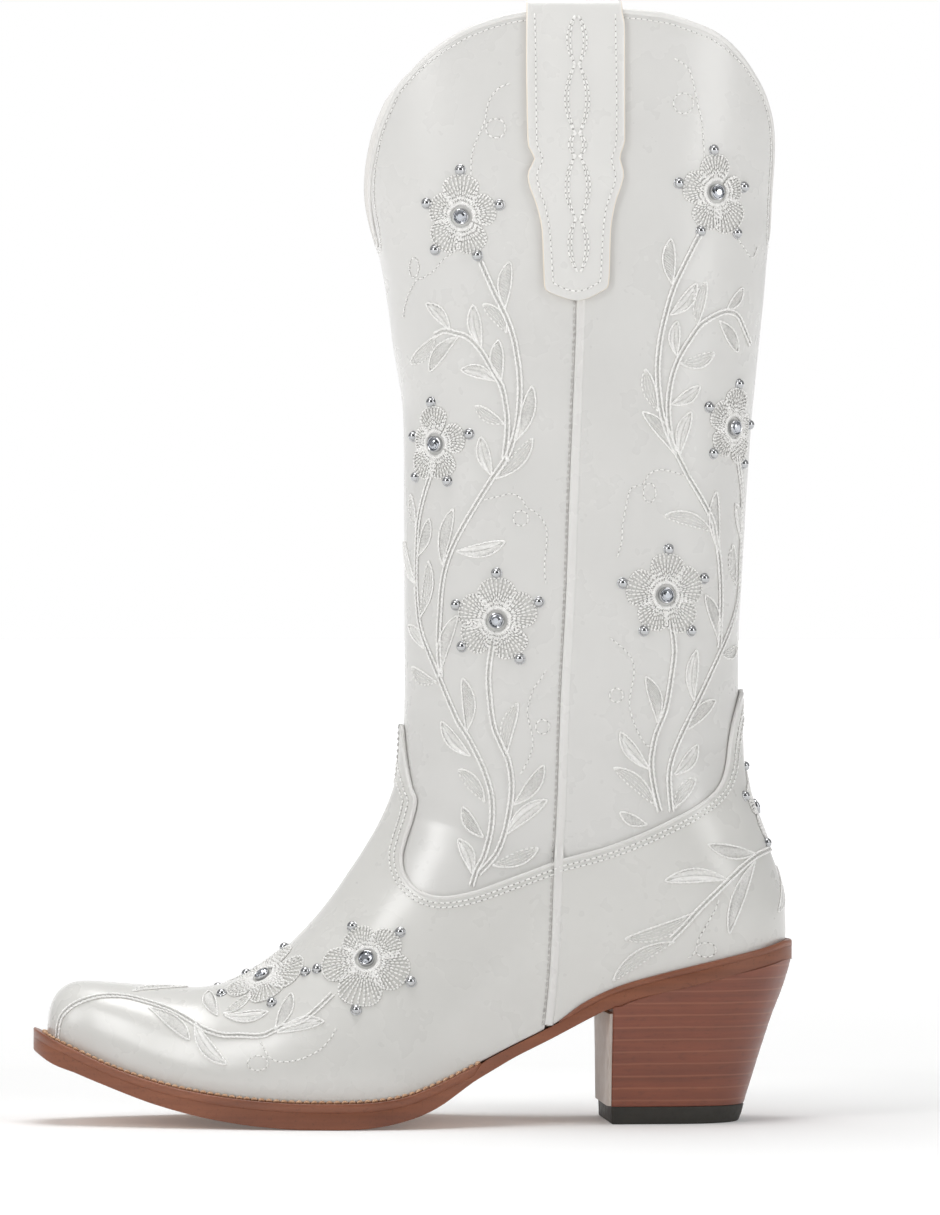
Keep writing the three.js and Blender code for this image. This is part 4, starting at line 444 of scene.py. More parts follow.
# ------------------------------------------------------------------ leather sheets
US, VS = 112.0, None
def v_of(s):
    return np.interp(s, [0, 1, 2, 3], [0, 279, 279 + 160, 279 + 160 + 96])
def s_of(v):
    return np.interp(v, [0, 279, 279 + 160, 279 + 160 + 96], [0, 1, 2, 3])
def in_loop(L, G):
    inside = np.zeros(len(G), bool)
    near = np.full(len(G), 1e9)
    for a, b in zip(L, np.roll(L, -1, 0)):
        cond = (a[1] > G[:, 1]) != (b[1] > G[:, 1])
        xint = (b[0] - a[0]) * (G[:, 1] - a[1]) / ((b[1] - a[1]) or 1e-12) + a[0]
        inside ^= cond & (G[:, 0] < xint)
        near = np.minimum(near, (G[:, 0] - a[0]) ** 2 + (G[:, 1] - a[1]) ** 2)
    return inside, near
def fill(loop_st, step):
    """Triangles of the region inside a loop of (t, s), with an even grid inside."""
    L = np.array([[t * US, v_of(s)] for t, s in loop_st])
    L = resample(L, step * 0.8, closed=True)
    n = len(L)
    lo, hi = L.min(0), L.max(0)
    gx, gy = np.arange(lo[0], hi[0], step), np.arange(lo[1], hi[1], step * 0.866)
    X, Y = np.meshgrid(gx, gy)
    X[1::2] += step / 2
    G = np.stack([X.ravel(), Y.ravel()], -1)
    inside, near = in_loop(L, G)
    G = G[inside & (near > (step * 0.62) ** 2)]
    P = np.concatenate([L, G])
    edges = [(i, (i + 1) % n) for i in range(n)]
    r = geometry.delaunay_2d_cdt([Vector(p) for p in P], edges, [], 1, 1e-5, False)
    uv, T = np.array([[v[0], v[1]] for v in r[0]]), np.array([f for f in r[2] if len(f) == 3])
    return uv, T[in_loop(L, uv[T].mean(1))[0]]       # pockets outside a concave edge are dropped
def sheet(loops, step):
    """loops: list of (loop of (t, s), side). Returns the merged sheet on the last, with outward triangles and normals."""
    VV, FF, n = [], [], 0
    for loop, side in loops:
        uv, T = fill(loop, step)
        s_, t_ = s_of(uv[:, 1]), uv[:, 0] / US
        P = S(s_, t_, side)
        back = (np.abs(t_ - 1) < 3e-4) & (s_ < 1 + HEEL_PHI / 90)
        P[back, 1] = centre_y(P[back, 0])             # both halves meet on the middle line of the back
        VV.append(P)
        FF.append(T + n)
        n += len(uv)
    V, F = np.concatenate(VV), np.concatenate(FF)
    nf = np.cross(V[F[:, 1]] - V[F[:, 0]], V[F[:, 2]] - V[F[:, 0]])
    c = V[F].mean(1)
    flip = np.sum(nf * (c - centre_line(c)), 1) < 0
    start = 0
    n = 0
    for (loop, side), f in zip(loops, FF):          # one winding per loop
        sl = slice(start, start + len(f))
        if flip[sl].mean() > 0.5:
            F[sl] = F[sl][:, ::-1]
        start += len(f)
    V, F = merge(V, F)
    return V, F, unit(area_normals(V, F))
def thick(V, F, N, o1, o2, r=0.4):
    """The sheet as leather from offset o1 to o2, with a rounded outer edge."""
    e = np.concatenate([F[:, [0, 1]], F[:, [1, 2]], F[:, [2, 0]]])
    key = np.sort(e, 1)
    u, inv, cnt = np.unique(key, axis=0, return_inverse=True, return_counts=True)
    E = e[cnt[inv.reshape(-1)] == 1]
    inward = np.zeros_like(V)
    d = unit(V[E[:, 1]] - V[E[:, 0]])
    for k in (0, 1):
        np.add.at(inward, E[:, k], np.cross(N[E[:, k]], d))
    inward = unit(inward)
    b = np.unique(E)
    pos = -np.ones(len(V), int)
    pos[b] = np.arange(len(b))
    n, m = len(V), len(b)
    outer = V + N * o2
    outer[b] = V[b] + inward[b] * r + N[b] * o2
    inner = V + N * o1
    rings = [V[b] + inward[b] * r * (1 - math.sin(a)) + N[b] * (o2 - r * (1 - math.cos(a))) for a in np.radians([25, 50, 72, 90])]
    P = np.concatenate([outer, inner] + rings)
    chain = [lambda i: i] + [lambda i, k=k: 2 * n + k * m + pos[i] for k in range(4)] + [lambda i: n + i]
    Q = []
    for f, g in zip(chain[:-1], chain[1:]):
        Q.append(np.stack([f(E[:, 1]), f(E[:, 0]), g(E[:, 0]), g(E[:, 1])], -1))
    return P, [F, F[:, ::-1] + n, np.concatenate(Q)]

def st_path(P):
    """(x, z) points as dense (t, s) points."""
    P = resample(np.asarray(P, float), 1.2)
    s, t = to_st(P[:, 0], P[:, 1])
    return np.stack([t, s], -1)

# ------------------------------------------------------------------ materials
def material(name):
    m = bpy.data.materials.new(name)
    m.use_nodes = True
    nt = m.node_tree
    nt.nodes.clear()
    out = nt.nodes.new("ShaderNodeOutputMaterial")
    b = nt.nodes.new("ShaderNodeBsdfPrincipled")
    nt.links.new(b.outputs[0], out.inputs[0])
    return m, nt, b
def lin(c):
    return [((v / 255) / 12.92 if v / 255 <= 0.04045 else (((v / 255) + 0.055) / 1.055) ** 2.4) for v in c] + [1.0]
class G:
    """Short-hand for building a node graph."""
    def __init__(self, nt):
        self.nt = nt
        tc = nt.nodes.new("ShaderNodeTexCoord")
        self.co = tc.outputs["Object"]
    def scaled(self, sx, sy=None, sz=None):
        n = self.nt.nodes.new("ShaderNodeMapping")
        n.inputs["Scale"].default_value = (sx, sy if sy is not None else sx, sz if sz is not None else sx)
        self.nt.links.new(self.co, n.inputs["Vector"])
        return n.outputs[0]
    def noise(self, vec, scale, detail=3.0, rough=0.55, distort=0.0):
        n = self.nt.nodes.new("ShaderNodeTexNoise")
        n.inputs["Scale"].default_value = scale
        n.inputs["Detail"].default_value = detail
        n.inputs["Roughness"].default_value = rough
        n.inputs["Distortion"].default_value = distort
        self.nt.links.new(vec, n.inputs["Vector"])
        return n.outputs[0]
    def voronoi(self, vec, scale, feature="F1"):
        n = self.nt.nodes.new("ShaderNodeTexVoronoi")
        n.feature = feature
        n.inputs["Scale"].default_value = scale
        self.nt.links.new(vec, n.inputs["Vector"])
        return n.outputs["Distance"]
    def wave(self, vec, scale, distort=0.0, detail=0.0, direction="Z", profile="SIN"):
        n = self.nt.nodes.new("ShaderNodeTexWave")
        n.bands_direction = direction
        n.wave_profile = profile
        n.inputs["Scale"].default_value = scale
        n.inputs["Distortion"].default_value = distort
        n.inputs["Detail"].default_value = detail
        self.nt.links.new(vec, n.inputs["Vector"])
        return n.outputs["Fac"]
    def ramp(self, fac, stops):
        n = self.nt.nodes.new("ShaderNodeValToRGB")
        e = n.color_ramp.elements
        while len(e) > 1:
            e.remove(e[-1])
        e[0].position, e[0].color = stops[0][0], stops[0][1]
        for p, c in stops[1:]:
            k = e.new(p)
            k.color = c
        self.nt.links.new(fac, n.inputs[0])
        return n.outputs[0]
    def grey(self, fac, a, b, p=0.0, q=1.0):
        return self.ramp(fac, [(p, (a, a, a, 1)), (q, (b, b, b, 1))])
    def math(self, op, a, b=None):
        n = self.nt.nodes.new("ShaderNodeMath")
        n.operation = op
        for i, v in enumerate((a, b)):
            if v is None:
                continue
            if isinstance(v, (int, float)):
                n.inputs[i].default_value = v
            else:
                self.nt.links.new(v, n.inputs[i])
        return n.outputs[0]
    def mix(self, fac, a, b, blend="MIX"):
        n = self.nt.nodes.new("ShaderNodeMix")
        n.data_type = "RGBA"
        n.blend_type = blend
        for sock, v in ((n.inputs[0], fac), (n.inputs[6], a), (n.inputs[7], b)):
            if isinstance(v, (int, float)):
                sock.default_value = v
            elif isinstance(v, (list, tuple)):
                sock.default_value = v
            else:
                self.nt.links.new(v, sock)
        return n.outputs[2]
    def bump(self, height, strength, dist, normal=None):
        n = self.nt.nodes.new("ShaderNodeBump")
        n.inputs["Strength"].default_value = strength
        n.inputs["Distance"].default_value = dist
        self.nt.links.new(height, n.inputs["Height"])
        if normal is not None:
            self.nt.links.new(normal, n.inputs["Normal"])
        return n.outputs[0]
    def to(self, out, sock):
        self.nt.links.new(out, sock)

def pearl(name, light=(218, 217, 213), dark=(214, 213, 209), rough=(0.26, 0.30), grain=0.06):
    """Smooth pearl-finished leather: fine creases and pores, an even soft gloss."""
    m, nt, b = material(name)
    g = G(nt)
    o = g.scaled(1.0)
    cloud = g.noise(o, 14.0, 3.0, 0.5)
    fine = g.noise(o, 260.0, 2.0, 0.6)
    g.to(g.mix(g.grey(fine, 0.0, 0.12, 0.35, 0.75), g.ramp(cloud, [(0.30, lin(dark)), (0.68, lin(light))]), lin((222, 221, 218))), b.inputs["Base Color"])
    g.to(g.grey(g.noise(o, 60.0, 3.0, 0.6), rough[0], rough[1], 0.3, 0.7), b.inputs["Roughness"])
    cells = g.voronoi(o, 900.0, "DISTANCE_TO_EDGE")
    pores = g.grey(cells, 0.0, 1.0, 0.0, 0.16)
    folds = g.noise(g.scaled(1.0, 1.0, 1.8), 210.0, 4.0, 0.62, 0.6)
    n1 = g.bump(pores, grain, 0.00006)
    n2 = g.bump(folds, 0.09, 0.0002, n1)
    n3 = g.bump(g.noise(o, 22.0, 1.5, 0.45), 0.22, 0.0016, n2)
    g.to(n3, b.inputs["Normal"])
    b.inputs["Specular IOR Level"].default_value = 0.55
    b.inputs["Coat Weight"].default_value = 0.4
    b.inputs["Coat Roughness"].default_value = 0.2
    b.inputs["Sheen Weight"].default_value = 0.06
    b.inputs["Sheen Roughness"].default_value = 0.4
    return m
def suede_like(name, light, dark, rough=0.75):
    m, nt, b = material(name)
    g = G(nt)
    o = g.scaled(1.0)
    g.to(g.ramp(g.noise(o, 60.0, 5.0, 0.65), [(0.32, lin(dark)), (0.7, lin(light))]), b.inputs["Base Color"])
    g.to(g.grey(g.noise(o, 300.0, 2.0), rough - 0.1, min(1, rough + 0.1), 0.3, 0.7), b.inputs["Roughness"])
    n1 = g.bump(g.noise(o, 1400.0, 2.0, 0.6), 0.5, 0.00012)
    g.to(g.bump(g.noise(o, 120.0, 3.0, 0.6), 0.25, 0.0005, n1), b.inputs["Normal"])
    b.inputs["Sheen Weight"].default_value = 0.2
    return m
def sole_edge(name, light=(151, 92, 63), mid=(130, 76, 51), dark=(106, 59, 39), rough=(0.34, 0.52), stripe=0.0, streak=(8.0, 8.0, 260.0)):
    """Burnished leather edge: fibres lie along the layer, colour drifts, dark pores."""
    m, nt, b = material(name)
    g = G(nt)
    fibre = g.noise(g.scaled(*streak), 1.0, 5.0, 0.62)
    patch = g.noise(g.scaled(1.0), 22.0, 3.0, 0.5)
    speck = g.noise(g.scaled(1.0), 900.0, 2.0, 0.6)
    c1 = g.ramp(patch, [(0.28, lin(dark)), (0.5, lin(mid)), (0.74, lin(light))])
    c2 = g.ramp(fibre, [(0.30, lin(dark)), (0.5, lin(mid)), (0.72, lin(light))])
    c = g.mix(0.5, c1, c2)
    c = g.mix(g.grey(speck, 0.35, 0.0, 0.28, 0.42), c, lin([v * 0.72 for v in dark]))
    g.to(c, b.inputs["Base Color"])
    g.to(g.grey(fibre, rough[0], rough[1], 0.3, 0.7), b.inputs["Roughness"])
    n1 = g.bump(fibre, 0.28, 0.00025)
    g.to(g.bump(speck, 0.15, 0.00008, n1), b.inputs["Normal"])
    b.inputs["Specular IOR Level"].default_value = 0.5
    b.inputs["Coat Weight"].default_value = 0.12
    b.inputs["Coat Roughness"].default_value = 0.3
    return m
def thread(name, light, dark, rough=0.38, sheen=0.35, scale=700.0, metal=0.0):
    m, nt, b = material(name)
    g = G(nt)
    o = g.scaled(1.0)
    g.to(g.ramp(g.noise(o, scale, 3.0, 0.6), [(0.3, lin(dark)), (0.7, lin(light))]), b.inputs["Base Color"])
    g.to(g.grey(g.noise(o, scale * 2, 2.0), rough - 0.08, rough + 0.12, 0.3, 0.7), b.inputs["Roughness"])
    ply = g.wave(g.scaled(1.0), 900.0, 2.5, 1.0, "DIAGONAL")
    g.to(g.bump(ply, 0.35, 0.00009), b.inputs["Normal"])
    b.inputs["Sheen Weight"].default_value = sheen
    b.inputs["Sheen Roughness"].default_value = 0.35
    b.inputs["Metallic"].default_value = metal
    return m
def chrome(name, tint=(196, 197, 199), rough=0.03):
    m, nt, b = material(name)
    g = G(nt)
    o = g.scaled(1.0)
    g.to(g.ramp(g.noise(o, 320.0, 3.0), [(0.3, lin([v * 0.94 for v in tint])), (0.7, lin(tint))]), b.inputs["Base Color"])
    g.to(g.grey(g.noise(o, 900.0, 3.0, 0.6), rough, rough + 0.09, 0.4, 0.75), b.inputs["Roughness"])
    g.to(g.bump(g.noise(o, 1500.0, 2.0), 0.04, 0.00003), b.inputs["Normal"])
    b.inputs["Metallic"].default_value = 1.0
    return m
def rubber(name):
    m, nt, b = material(name)
    g = G(nt)
    o = g.scaled(1.0)
    g.to(g.ramp(g.noise(o, 50.0, 4.0, 0.6), [(0.3, lin((38, 36, 32))), (0.7, lin((54, 51, 45)))]), b.inputs["Base Color"])
    g.to(g.grey(g.noise(o, 400.0, 3.0), 0.5, 0.72, 0.3, 0.7), b.inputs["Roughness"])
    n1 = g.bump(g.noise(o, 1800.0, 2.0), 0.25, 0.00007)
    g.to(g.bump(g.noise(g.scaled(60.0, 60.0, 900.0), 1.0, 3.0), 0.2, 0.0001, n1), b.inputs["Normal"])
    return m
def heel_wood(name, pale=0.30):
    """Stacked leather: level layers every 4.55 mm, each edge line paler, with fibres along them."""
    m, nt, b = material(name)
    g = G(nt)
    sep = nt.nodes.new("ShaderNodeSeparateXYZ")
    nt.links.new(g.co, sep.inputs[0])
    z = g.math("ADD", sep.outputs[2], g.math("MULTIPLY", g.math("SUBTRACT", g.noise(g.scaled(26.0, 26.0, 60.0), 1.0, 2.0), 0.5), 0.0012))
    u = g.math("FRACT", g.math("DIVIDE", g.math("ADD", z, 0.0023), 0.00455))
    line = g.ramp(u, [(0.0, (0, 0, 0, 1)), (0.40, (0, 0, 0, 1)), (0.50, (1, 1, 1, 1)), (0.60, (0, 0, 0, 1)), (1.0, (0, 0, 0, 1))])
    layer = g.math("FLOOR", g.math("DIVIDE", g.math("ADD", z, 0.0023), 0.00455))
    wn = nt.nodes.new("ShaderNodeTexWhiteNoise")
    wn.noise_dimensions = "1D"
    nt.links.new(layer, wn.inputs["W"])
    fibre = g.noise(g.scaled(14.0, 14.0, 420.0), 1.0, 6.0, 0.66, 0.4)
    patch = g.noise(g.scaled(1.0), 30.0, 3.0, 0.55)
    speck = g.noise(g.scaled(260.0, 260.0, 900.0), 1.0, 3.0, 0.6)
    base = g.mix(0.55, g.ramp(patch, [(0.25, lin((107, 55, 38))), (0.5, lin((123, 65, 45))), (0.76, lin((139, 76, 52)))]), g.ramp(fibre, [(0.3, lin((99, 51, 35))), (0.52, lin((123, 65, 45))), (0.72, lin((141, 79, 55)))]))
    base = g.mix(g.math("MULTIPLY", wn.outputs["Value"], 0.16), base, lin((150, 86, 62)))
    base = g.mix(g.grey(speck, 0.30, 0.0, 0.30, 0.44), base, lin((92, 50, 38)))
    base = g.mix(g.math("MULTIPLY", line, pale), base, lin((180, 122, 94)))
    g.to(base, b.inputs["Base Color"])
    g.to(g.grey(fibre, 0.30, 0.46, 0.3, 0.7), b.inputs["Roughness"])
    n1 = g.bump(fibre, 0.22, 0.0002)
    g.to(g.bump(line, 0.25, 0.00008, n1), b.inputs["Normal"])
    b.inputs["Coat Weight"].default_value = 0.18
    b.inputs["Coat Roughness"].default_value = 0.28
    return m
def steel(name):
    m, nt, b = material(name)
    g = G(nt)
    f = g.noise(g.scaled(30.0, 900.0, 900.0), 1.0, 3.0)
    g.to(g.ramp(f, [(0.3, lin((140, 142, 145))), (0.7, lin((180, 182, 184)))]), b.inputs["Base Color"])
    g.to(g.grey(f, 0.28, 0.45, 0.3, 0.7), b.inputs["Roughness"])
    g.to(g.bump(f, 0.2, 0.0001), b.inputs["Normal"])
    b.inputs["Metallic"].default_value = 1.0
    return m

M_PEARL = pearl("pearl_leather")
M_PEARL_SHAFT = pearl("pearl_leather_shaft", (218, 217, 214), (214, 213, 210))
M_STRAP = pearl("strap_leather", (226, 225, 222), (222, 221, 218))
M_BIND = pearl("binding_leather", (229, 228, 225), (221, 219, 216), grain=0.1)
M_CREAM = pearl("cream_edge", (242, 233, 220), (226, 214, 198), (0.45, 0.6))
M_LINING = suede_like("lining_leather", (226, 212, 192), (206, 190, 168))
M_SOCK = suede_like("sock_leather", (220, 204, 182), (196, 178, 154))
M_BOARD = suede_like("board", (188, 168, 140), (160, 140, 112), 0.85)
M_SOLE = sole_edge("sole_edge_leather")
M_SOLE_UNDER = sole_edge("sole_under_leather", (196, 150, 112), (180, 134, 98), (156, 112, 80), (0.5, 0.7), streak=(60.0, 60.0, 60.0))
M_WELT = sole_edge("welt_leather", (156, 97, 68), (136, 81, 56), (111, 63, 43))
M_HEEL = heel_wood("stacked_heel")
M_FACE = suede_like("breast_leather", (214, 205, 197), (190, 180, 171), 0.5)
M_RUBBER = rubber("top_lift_rubber")
M_THREAD = thread("thread_white", (253, 252, 250), (240, 239, 236), 0.34, 0.25)
M_SILVER = thread("thread_satin", (240, 239, 236), (222, 221, 218), 0.3, 0.2, 900.0)
# dark grey: painted shade inside the needle holes
M_HOLE_SHADE = thread("needle_hole_shade", (150, 148, 144), (118, 116, 112), 0.6, 0.0)
M_GREY = thread("thread_grey", (206, 204, 200), (170, 168, 164), 0.45, 0.1)
M_TAN = thread("thread_tan", (226, 190, 154), (186, 140, 106), 0.5, 0.15)
M_CHROME = chrome("chrome")
M_CUP = chrome("cup_silver", (206, 208, 210), 0.09)
M_STONE = chrome("rhinestone", (196, 199, 205), 0.01)
M_STEEL = steel("steel")

# ------------------------------------------------------------------ the upper
def top_edge(d, P=None):
    P = TOPLINE
    out = []
    for i, p in enumerate(P):
        if i in (0, len(P) - 1):
            out.append([p[0] + (-0.4 if i else 0.4) * d, p[1] - d])
            continue
        dx, dz = P[i + 1][0] - P[i - 1][0], P[i + 1][1] - P[i - 1][1]
        l = math.hypot(dx, dz)
        k = d * (1 - 0.45 * float(smooth(0.5, 0.95, abs(dz / l))))
        out.append([p[0] + k * dz / l, p[1] - k * dx / l])
    return out
def seam_pts(z0, z1, dx, n=24):
    return [[float(seam_x(z)) + dx, z] for z in np.linspace(z0, z1, n)]
def split_edge(P, dx):
    return [p for p in P if p[0] < seam_x(p[1]) - dx], [p for p in P if p[0] > seam_x(p[1]) + dx]
R_EDGE = 0.4
tf, tb = split_edge(top_edge(1.2), 0.5)
FRONT_PANEL = [[-30.0, tf[0][1]]] + tf + seam_pts(tf[-1][1] - 0.6, 86.0, -0.45, 60) + [[46.5, 85.2], [30, 79], [12, 75], [2, 77], [-8, 83], [-13, 92], [-13, 104], [-11, 118], [-9.5, 131], [-30, 131]]
BACK_PANEL = [[160.0, tb[-1][1]]] + tb[::-1] + seam_pts(tb[0][1] - 0.6, 86.4, 0.45, 60) + [[68, 91], [90, 100], [104, 111], [112, 122], [118, 130], [160, 130]]
def trim(q, tv):
    k = np.where(np.abs(q[:, 0] - tv) > 2e-3)[0]
    q = q[max(k[0] - 1, 0):k[-1] + 2].copy()
    if abs(q[0, 0] - tv) < 0.05:
        q[0, 0] = tv
    if abs(q[-1, 0] - tv) < 0.05:
        q[-1, 0] = tv
    return q
def front_loop(edge, foot=False):
    q = st_path(edge)
    if foot:                                   # runs down the seam to the foot line, then along it to the toe
        k = np.where(q[:, 0] > 2e-3)[0][0]
        q = q[max(k - 1, 0):]
        q[0, 0] = 0
        e = np.where(q[:, 0] < 0.9995)[0][-1]
        q = q[:e + 1]
        s_end = q[-1, 1]
        tail = np.stack([np.ones(90), np.linspace(s_end, 3.0, 90)], -1)
        q = np.concatenate([q, tail, [[0.5, 3.0], [0.0, 3.0]]])
    else:
        q = trim(q, 0.0)
    m = q[::-1][1:-1].copy()
    m[:, 0] *= -1
    return np.concatenate([q, m])
def back_loop(edge):
    q = trim(st_path(edge), 1.0)
    m = q[::-1][1:-1].copy()
    m[:, 0] = 2 - m[:, 0]
    return np.concatenate([q, m])
def heel_loop(edge):
    """Up the seam from the foot line, back along the top edge to the back line, down it and forwards along the foot line."""
    q = st_path(edge)
    k = np.where(q[:, 0] < 0.9995)[0]
    q = q[k[0]:k[-1] + 2].copy()
    q[-1, 0] = 1.0
    s0, s1 = q[-1, 1], q[0, 1]
    sh = 1 + HEEL_PHI / 90
    ss = np.concatenate([np.linspace(s0, sh, 60)[1:], np.linspace(sh, s1, 60)[1:]])
    return np.concatenate([q, np.stack([np.ones(len(ss)), ss], -1)])

def leather(name, loops, o, step, mat, nodes, r=0.4):
    V, F, N = sheet(loops, step)
    P, faces = thick(V, F, N, o[0], o[1], r)
    return make(name, P, faces, [mat], nodes)

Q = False
ST = 2.4 if Q else 1.7
leather("shaft_front", [(front_loop(FRONT_PANEL), -1)], (-1.4, 0.0), ST, M_PEARL_SHAFT, ["shaft_front_panel"])
leather("shaft_back", [(back_loop(BACK_PANEL), -1)], (-1.4, 0.0), ST, M_PEARL_SHAFT, ["shaft_back_panel"])
VAMP = [[-30.0, 149.2]] + bezier_smooth(VAMP_EDGE, 4).tolist() + seam_pts(97.9, 30, -0.35, 50)
leather("vamp_leather", [(front_loop(VAMP, True), -1)], (0.3, 1.6), ST, M_PEARL, ["vamp"], 0.5)
COUNTER = seam_pts(30, 98.6, 0.35, 50) + bezier_smooth(COUNTER_EDGE, 4).tolist() + [[135.0, 163.4]]
leather("counter_leather", [(heel_loop(COUNTER), -1), (heel_loop(COUNTER), 1)], (0.3, 1.6), ST, M_PEARL, ["heel_counter"], 0.5)
lf, lb = split_edge(top_edge(1.2), 0.3)
leather("lining_front", [(front_loop([[-30.0, lf[0][1]]] + lf + seam_pts(lf[-1][1] - 0.6, 100, -0.15, 60) + [[30, 108.6], [10, 118.1], [-5.4, 123.8], [-30, 123.8]]), -1)], (-2.9, -1.7), 3.0, M_LINING, ["shaft_front_lining"])
leather("lining_back", [(back_loop([[160.0, lb[-1][1]]] + lb[::-1] + seam_pts(lb[0][1] - 0.6, 99.8, 0.15, 60) + [[70, 105.4], [90, 111.6], [110, 117.6], [126, 121.9], [160, 121.9]]), -1)], (-2.9, -1.7), 3.0, M_LINING, ["shaft_back_lining"])
leather("lining_vamp", [(front_loop([[-30.0, 123.4], [-5.4, 123.4], [10, 117.6], [30, 108.1]] + seam_pts(99.5, 30, -0.15, 50), True), -1)], (-2.9, -1.7), 3.0, M_LINING, ["vamp_lining"])
HL = seam_pts(30, 99.3, 0.15, 50) + [[70, 104.9], [90, 111.1], [110, 117.1], [126, 121.4], [135, 121.9]]
leather("lining_heel", [(heel_loop(HL), -1), (heel_loop(HL), 1)], (-2.9, -1.7), 3.0, M_LINING, ["heel_lining"])

# top binding, rolled over all layers
def ring_path(edge, step=1.0):
    """A side-plane line from the front middle to the back middle, carried round both sides."""
    P = resample(edge, step)
    s, t = to_st(P[:, 0], P[:, 1])
    t[0], t[-1] = 0, 1
    A, B = S(s, t, -1), S(s, t, 1)[::-1][1:-1]
    return np.concatenate([A, B])
TE = bezier_smooth(TOPLINE, 4)
TE = np.concatenate([[[float(np.interp(TE[0, 1], FL[::-1][:, 1][np.argsort(FL[::-1][:, 1])], FL[::-1][:, 0][np.argsort(FL[::-1][:, 1])])) - 0.2, TE[0, 1] - 0.5]], TE, [[float(back_x(TE[-1, 1])) + 0.2, TE[-1, 1] - 0.5]]])
P = ring_path(TE)
_, N = drop(P)
for _ in range(3):
    P[1:-1] = (P[:-2] + 2 * P[1:-1] + P[2:]) / 4
def down_axis(P, N):
    T = unit(np.roll(P, -1, 0) - np.roll(P, 1, 0))
    return unit(np.cross(N, T))
sign = -1.0 if down_axis(P, N)[:, 2].mean() > 0 else 1.0
BP = np.array([(2.0, 0.0), (1.85, 0.26), (1.35, 0.40), (0.8, 0.42), (0.35, 0.32), (0.02, 0.08), (-0.16, -0.4), (-0.24, -1.45), (-0.16, -2.5), (0.02, -2.98), (0.35, -3.22), (0.8, -3.32), (1.35, -3.3), (1.85, -3.16), (2.0, -2.9), (1.6, -1.5)])
BP[:, 0] *= sign
V, Qd, _t = sweep(P, N, BP, closed=True)
if sign < 0:
    Qd = Qd[:, ::-1]
make("top_roll", V, [Qd], [M_BIND], ["top_binding"])
white, silver, grey, tan = Bag(), Bag(), Bag(), Bag()
# dark cones at the needle holes: painted shade
hole_shades = Bag()
def hole_shade_dots(bag, P, N, r):
    """Painted shade of needle holes: small shallow dark six-sided cones."""
    ref = np.where(np.abs(N[:, 2:3]) < 0.8, np.array([[0, 0, 1.0]]), np.array([[1.0, 0, 0]]))
    U = unit(np.cross(ref, N))
    W = np.cross(N, U)
    a = np.arange(6) * np.pi / 3
    R = P[:, None] + (U[:, None] * np.cos(a)[None, :, None] + W[:, None] * np.sin(a)[None, :, None]) * r - N[:, None] * 0.05
    V = np.concatenate([R, (P + N * 0.09)[:, None]], 1)
    t = np.array([[i, (i + 1) % 6, 6] for i in range(6)])
    bag.add(V.reshape(-1, 3), None, (t[None] + (np.arange(len(P)) * 7)[:, None, None]).reshape(-1, 3))
def running(bag, P, N, r, length, gap, arch=0.9, slant=0.0, lift=0.15, closed=False, hole_shade=0.0):
    """Stitches of a length with gaps along dense points P."""
    P, N = np.asarray(P), np.asarray(N)
    L = np.concatenate([[0], np.cumsum(np.linalg.norm(np.diff(P, axis=0), axis=1))])
    n = int((L[-1] + gap) / (length + gap))
    if n < 1:
        return
    k = L[-1] / (n * (length + gap) - gap) if not closed else L[-1] / (n * (length + gap))
    a = np.arange(n) * (length + gap) * k
    b = a + length * k
    at = lambda u, X: np.stack([np.interp(u, L, X[:, j]) for j in range(3)], -1)
    A, B, M = at(a, P), at(b, P), unit(at((a + b) / 2, N))
    if slant:
        W = unit(np.cross(M, B - A))
        A, B = A - W * slant, B + W * slant
    stitches(bag, A, B, M, r, arch, lift=lift)
    # a dark cone between neighbouring stitches paints the shade of the needle hole
    if hole_shade and n > 1:
        u = (b[:-1] + a[1:]) / 2
        hole_shade_dots(hole_shades, at(u, P), unit(at(u, N)), hole_shade)
for d, rr in ((3.3, 0.24),):
    e = np.array(top_edge(d))
    e = np.concatenate([[[-25.0, e[0, 1] - 0.3]], e, [[140.0, e[-1, 1] - 0.3]]])
    q = st_path(e)
    q = trim(q, 0.0)
    q = q[:np.where(q[:, 0] < 0.999)[0][-1] + 1]
    for sd in (-1, 1):
        PP = S(q[:, 1], q[:, 0], sd)
        PP, NN = drop(PP, 0.0)
        running(white, PP, NN, rr, 1.7, 0.5, hole_shade=0.3)

# vamp and counter edges: a beaded rim and two rows of stitching
rim = Bag()
def edge_rows(E, rows, r, o):
    E = np.asarray(E)
    tx = np.gradient(E, axis=0)
    tx /= np.linalg.norm(tx, axis=1, keepdims=True)
    nrm = np.stack([tx[:, 1], -tx[:, 0]], -1)      # below the edge
    for sd in (-1, 1):
        for d, kind in rows:
            L = resample(E + nrm * d, 0.8)
            s, t = to_st(L[:, 0], L[:, 1])
            PP, NN = drop(S(s, t, sd), o)
            if kind == "bead":
                NN2 = NN
                cord(rim, PP - NN * 0.55, NN2, r, lift=0.0, n=10)
            else:
                running(white, PP, NN, 0.33, 1.6, 0.6, hole_shade=0.36)
VE = bezier_smooth(VAMP_EDGE, 5)
edge_rows(VE, ((0.35, "bead"), (2.3, "row"), (3.9, "row")), 0.85, 1.6)
CE = bezier_smooth(COUNTER_EDGE, 5)
edge_rows(CE, ((0.35, "bead"), (2.3, "row"), (3.9, "row")), 0.85, 1.6)
rim.make("edge_beads", M_BIND, "upper_leather")

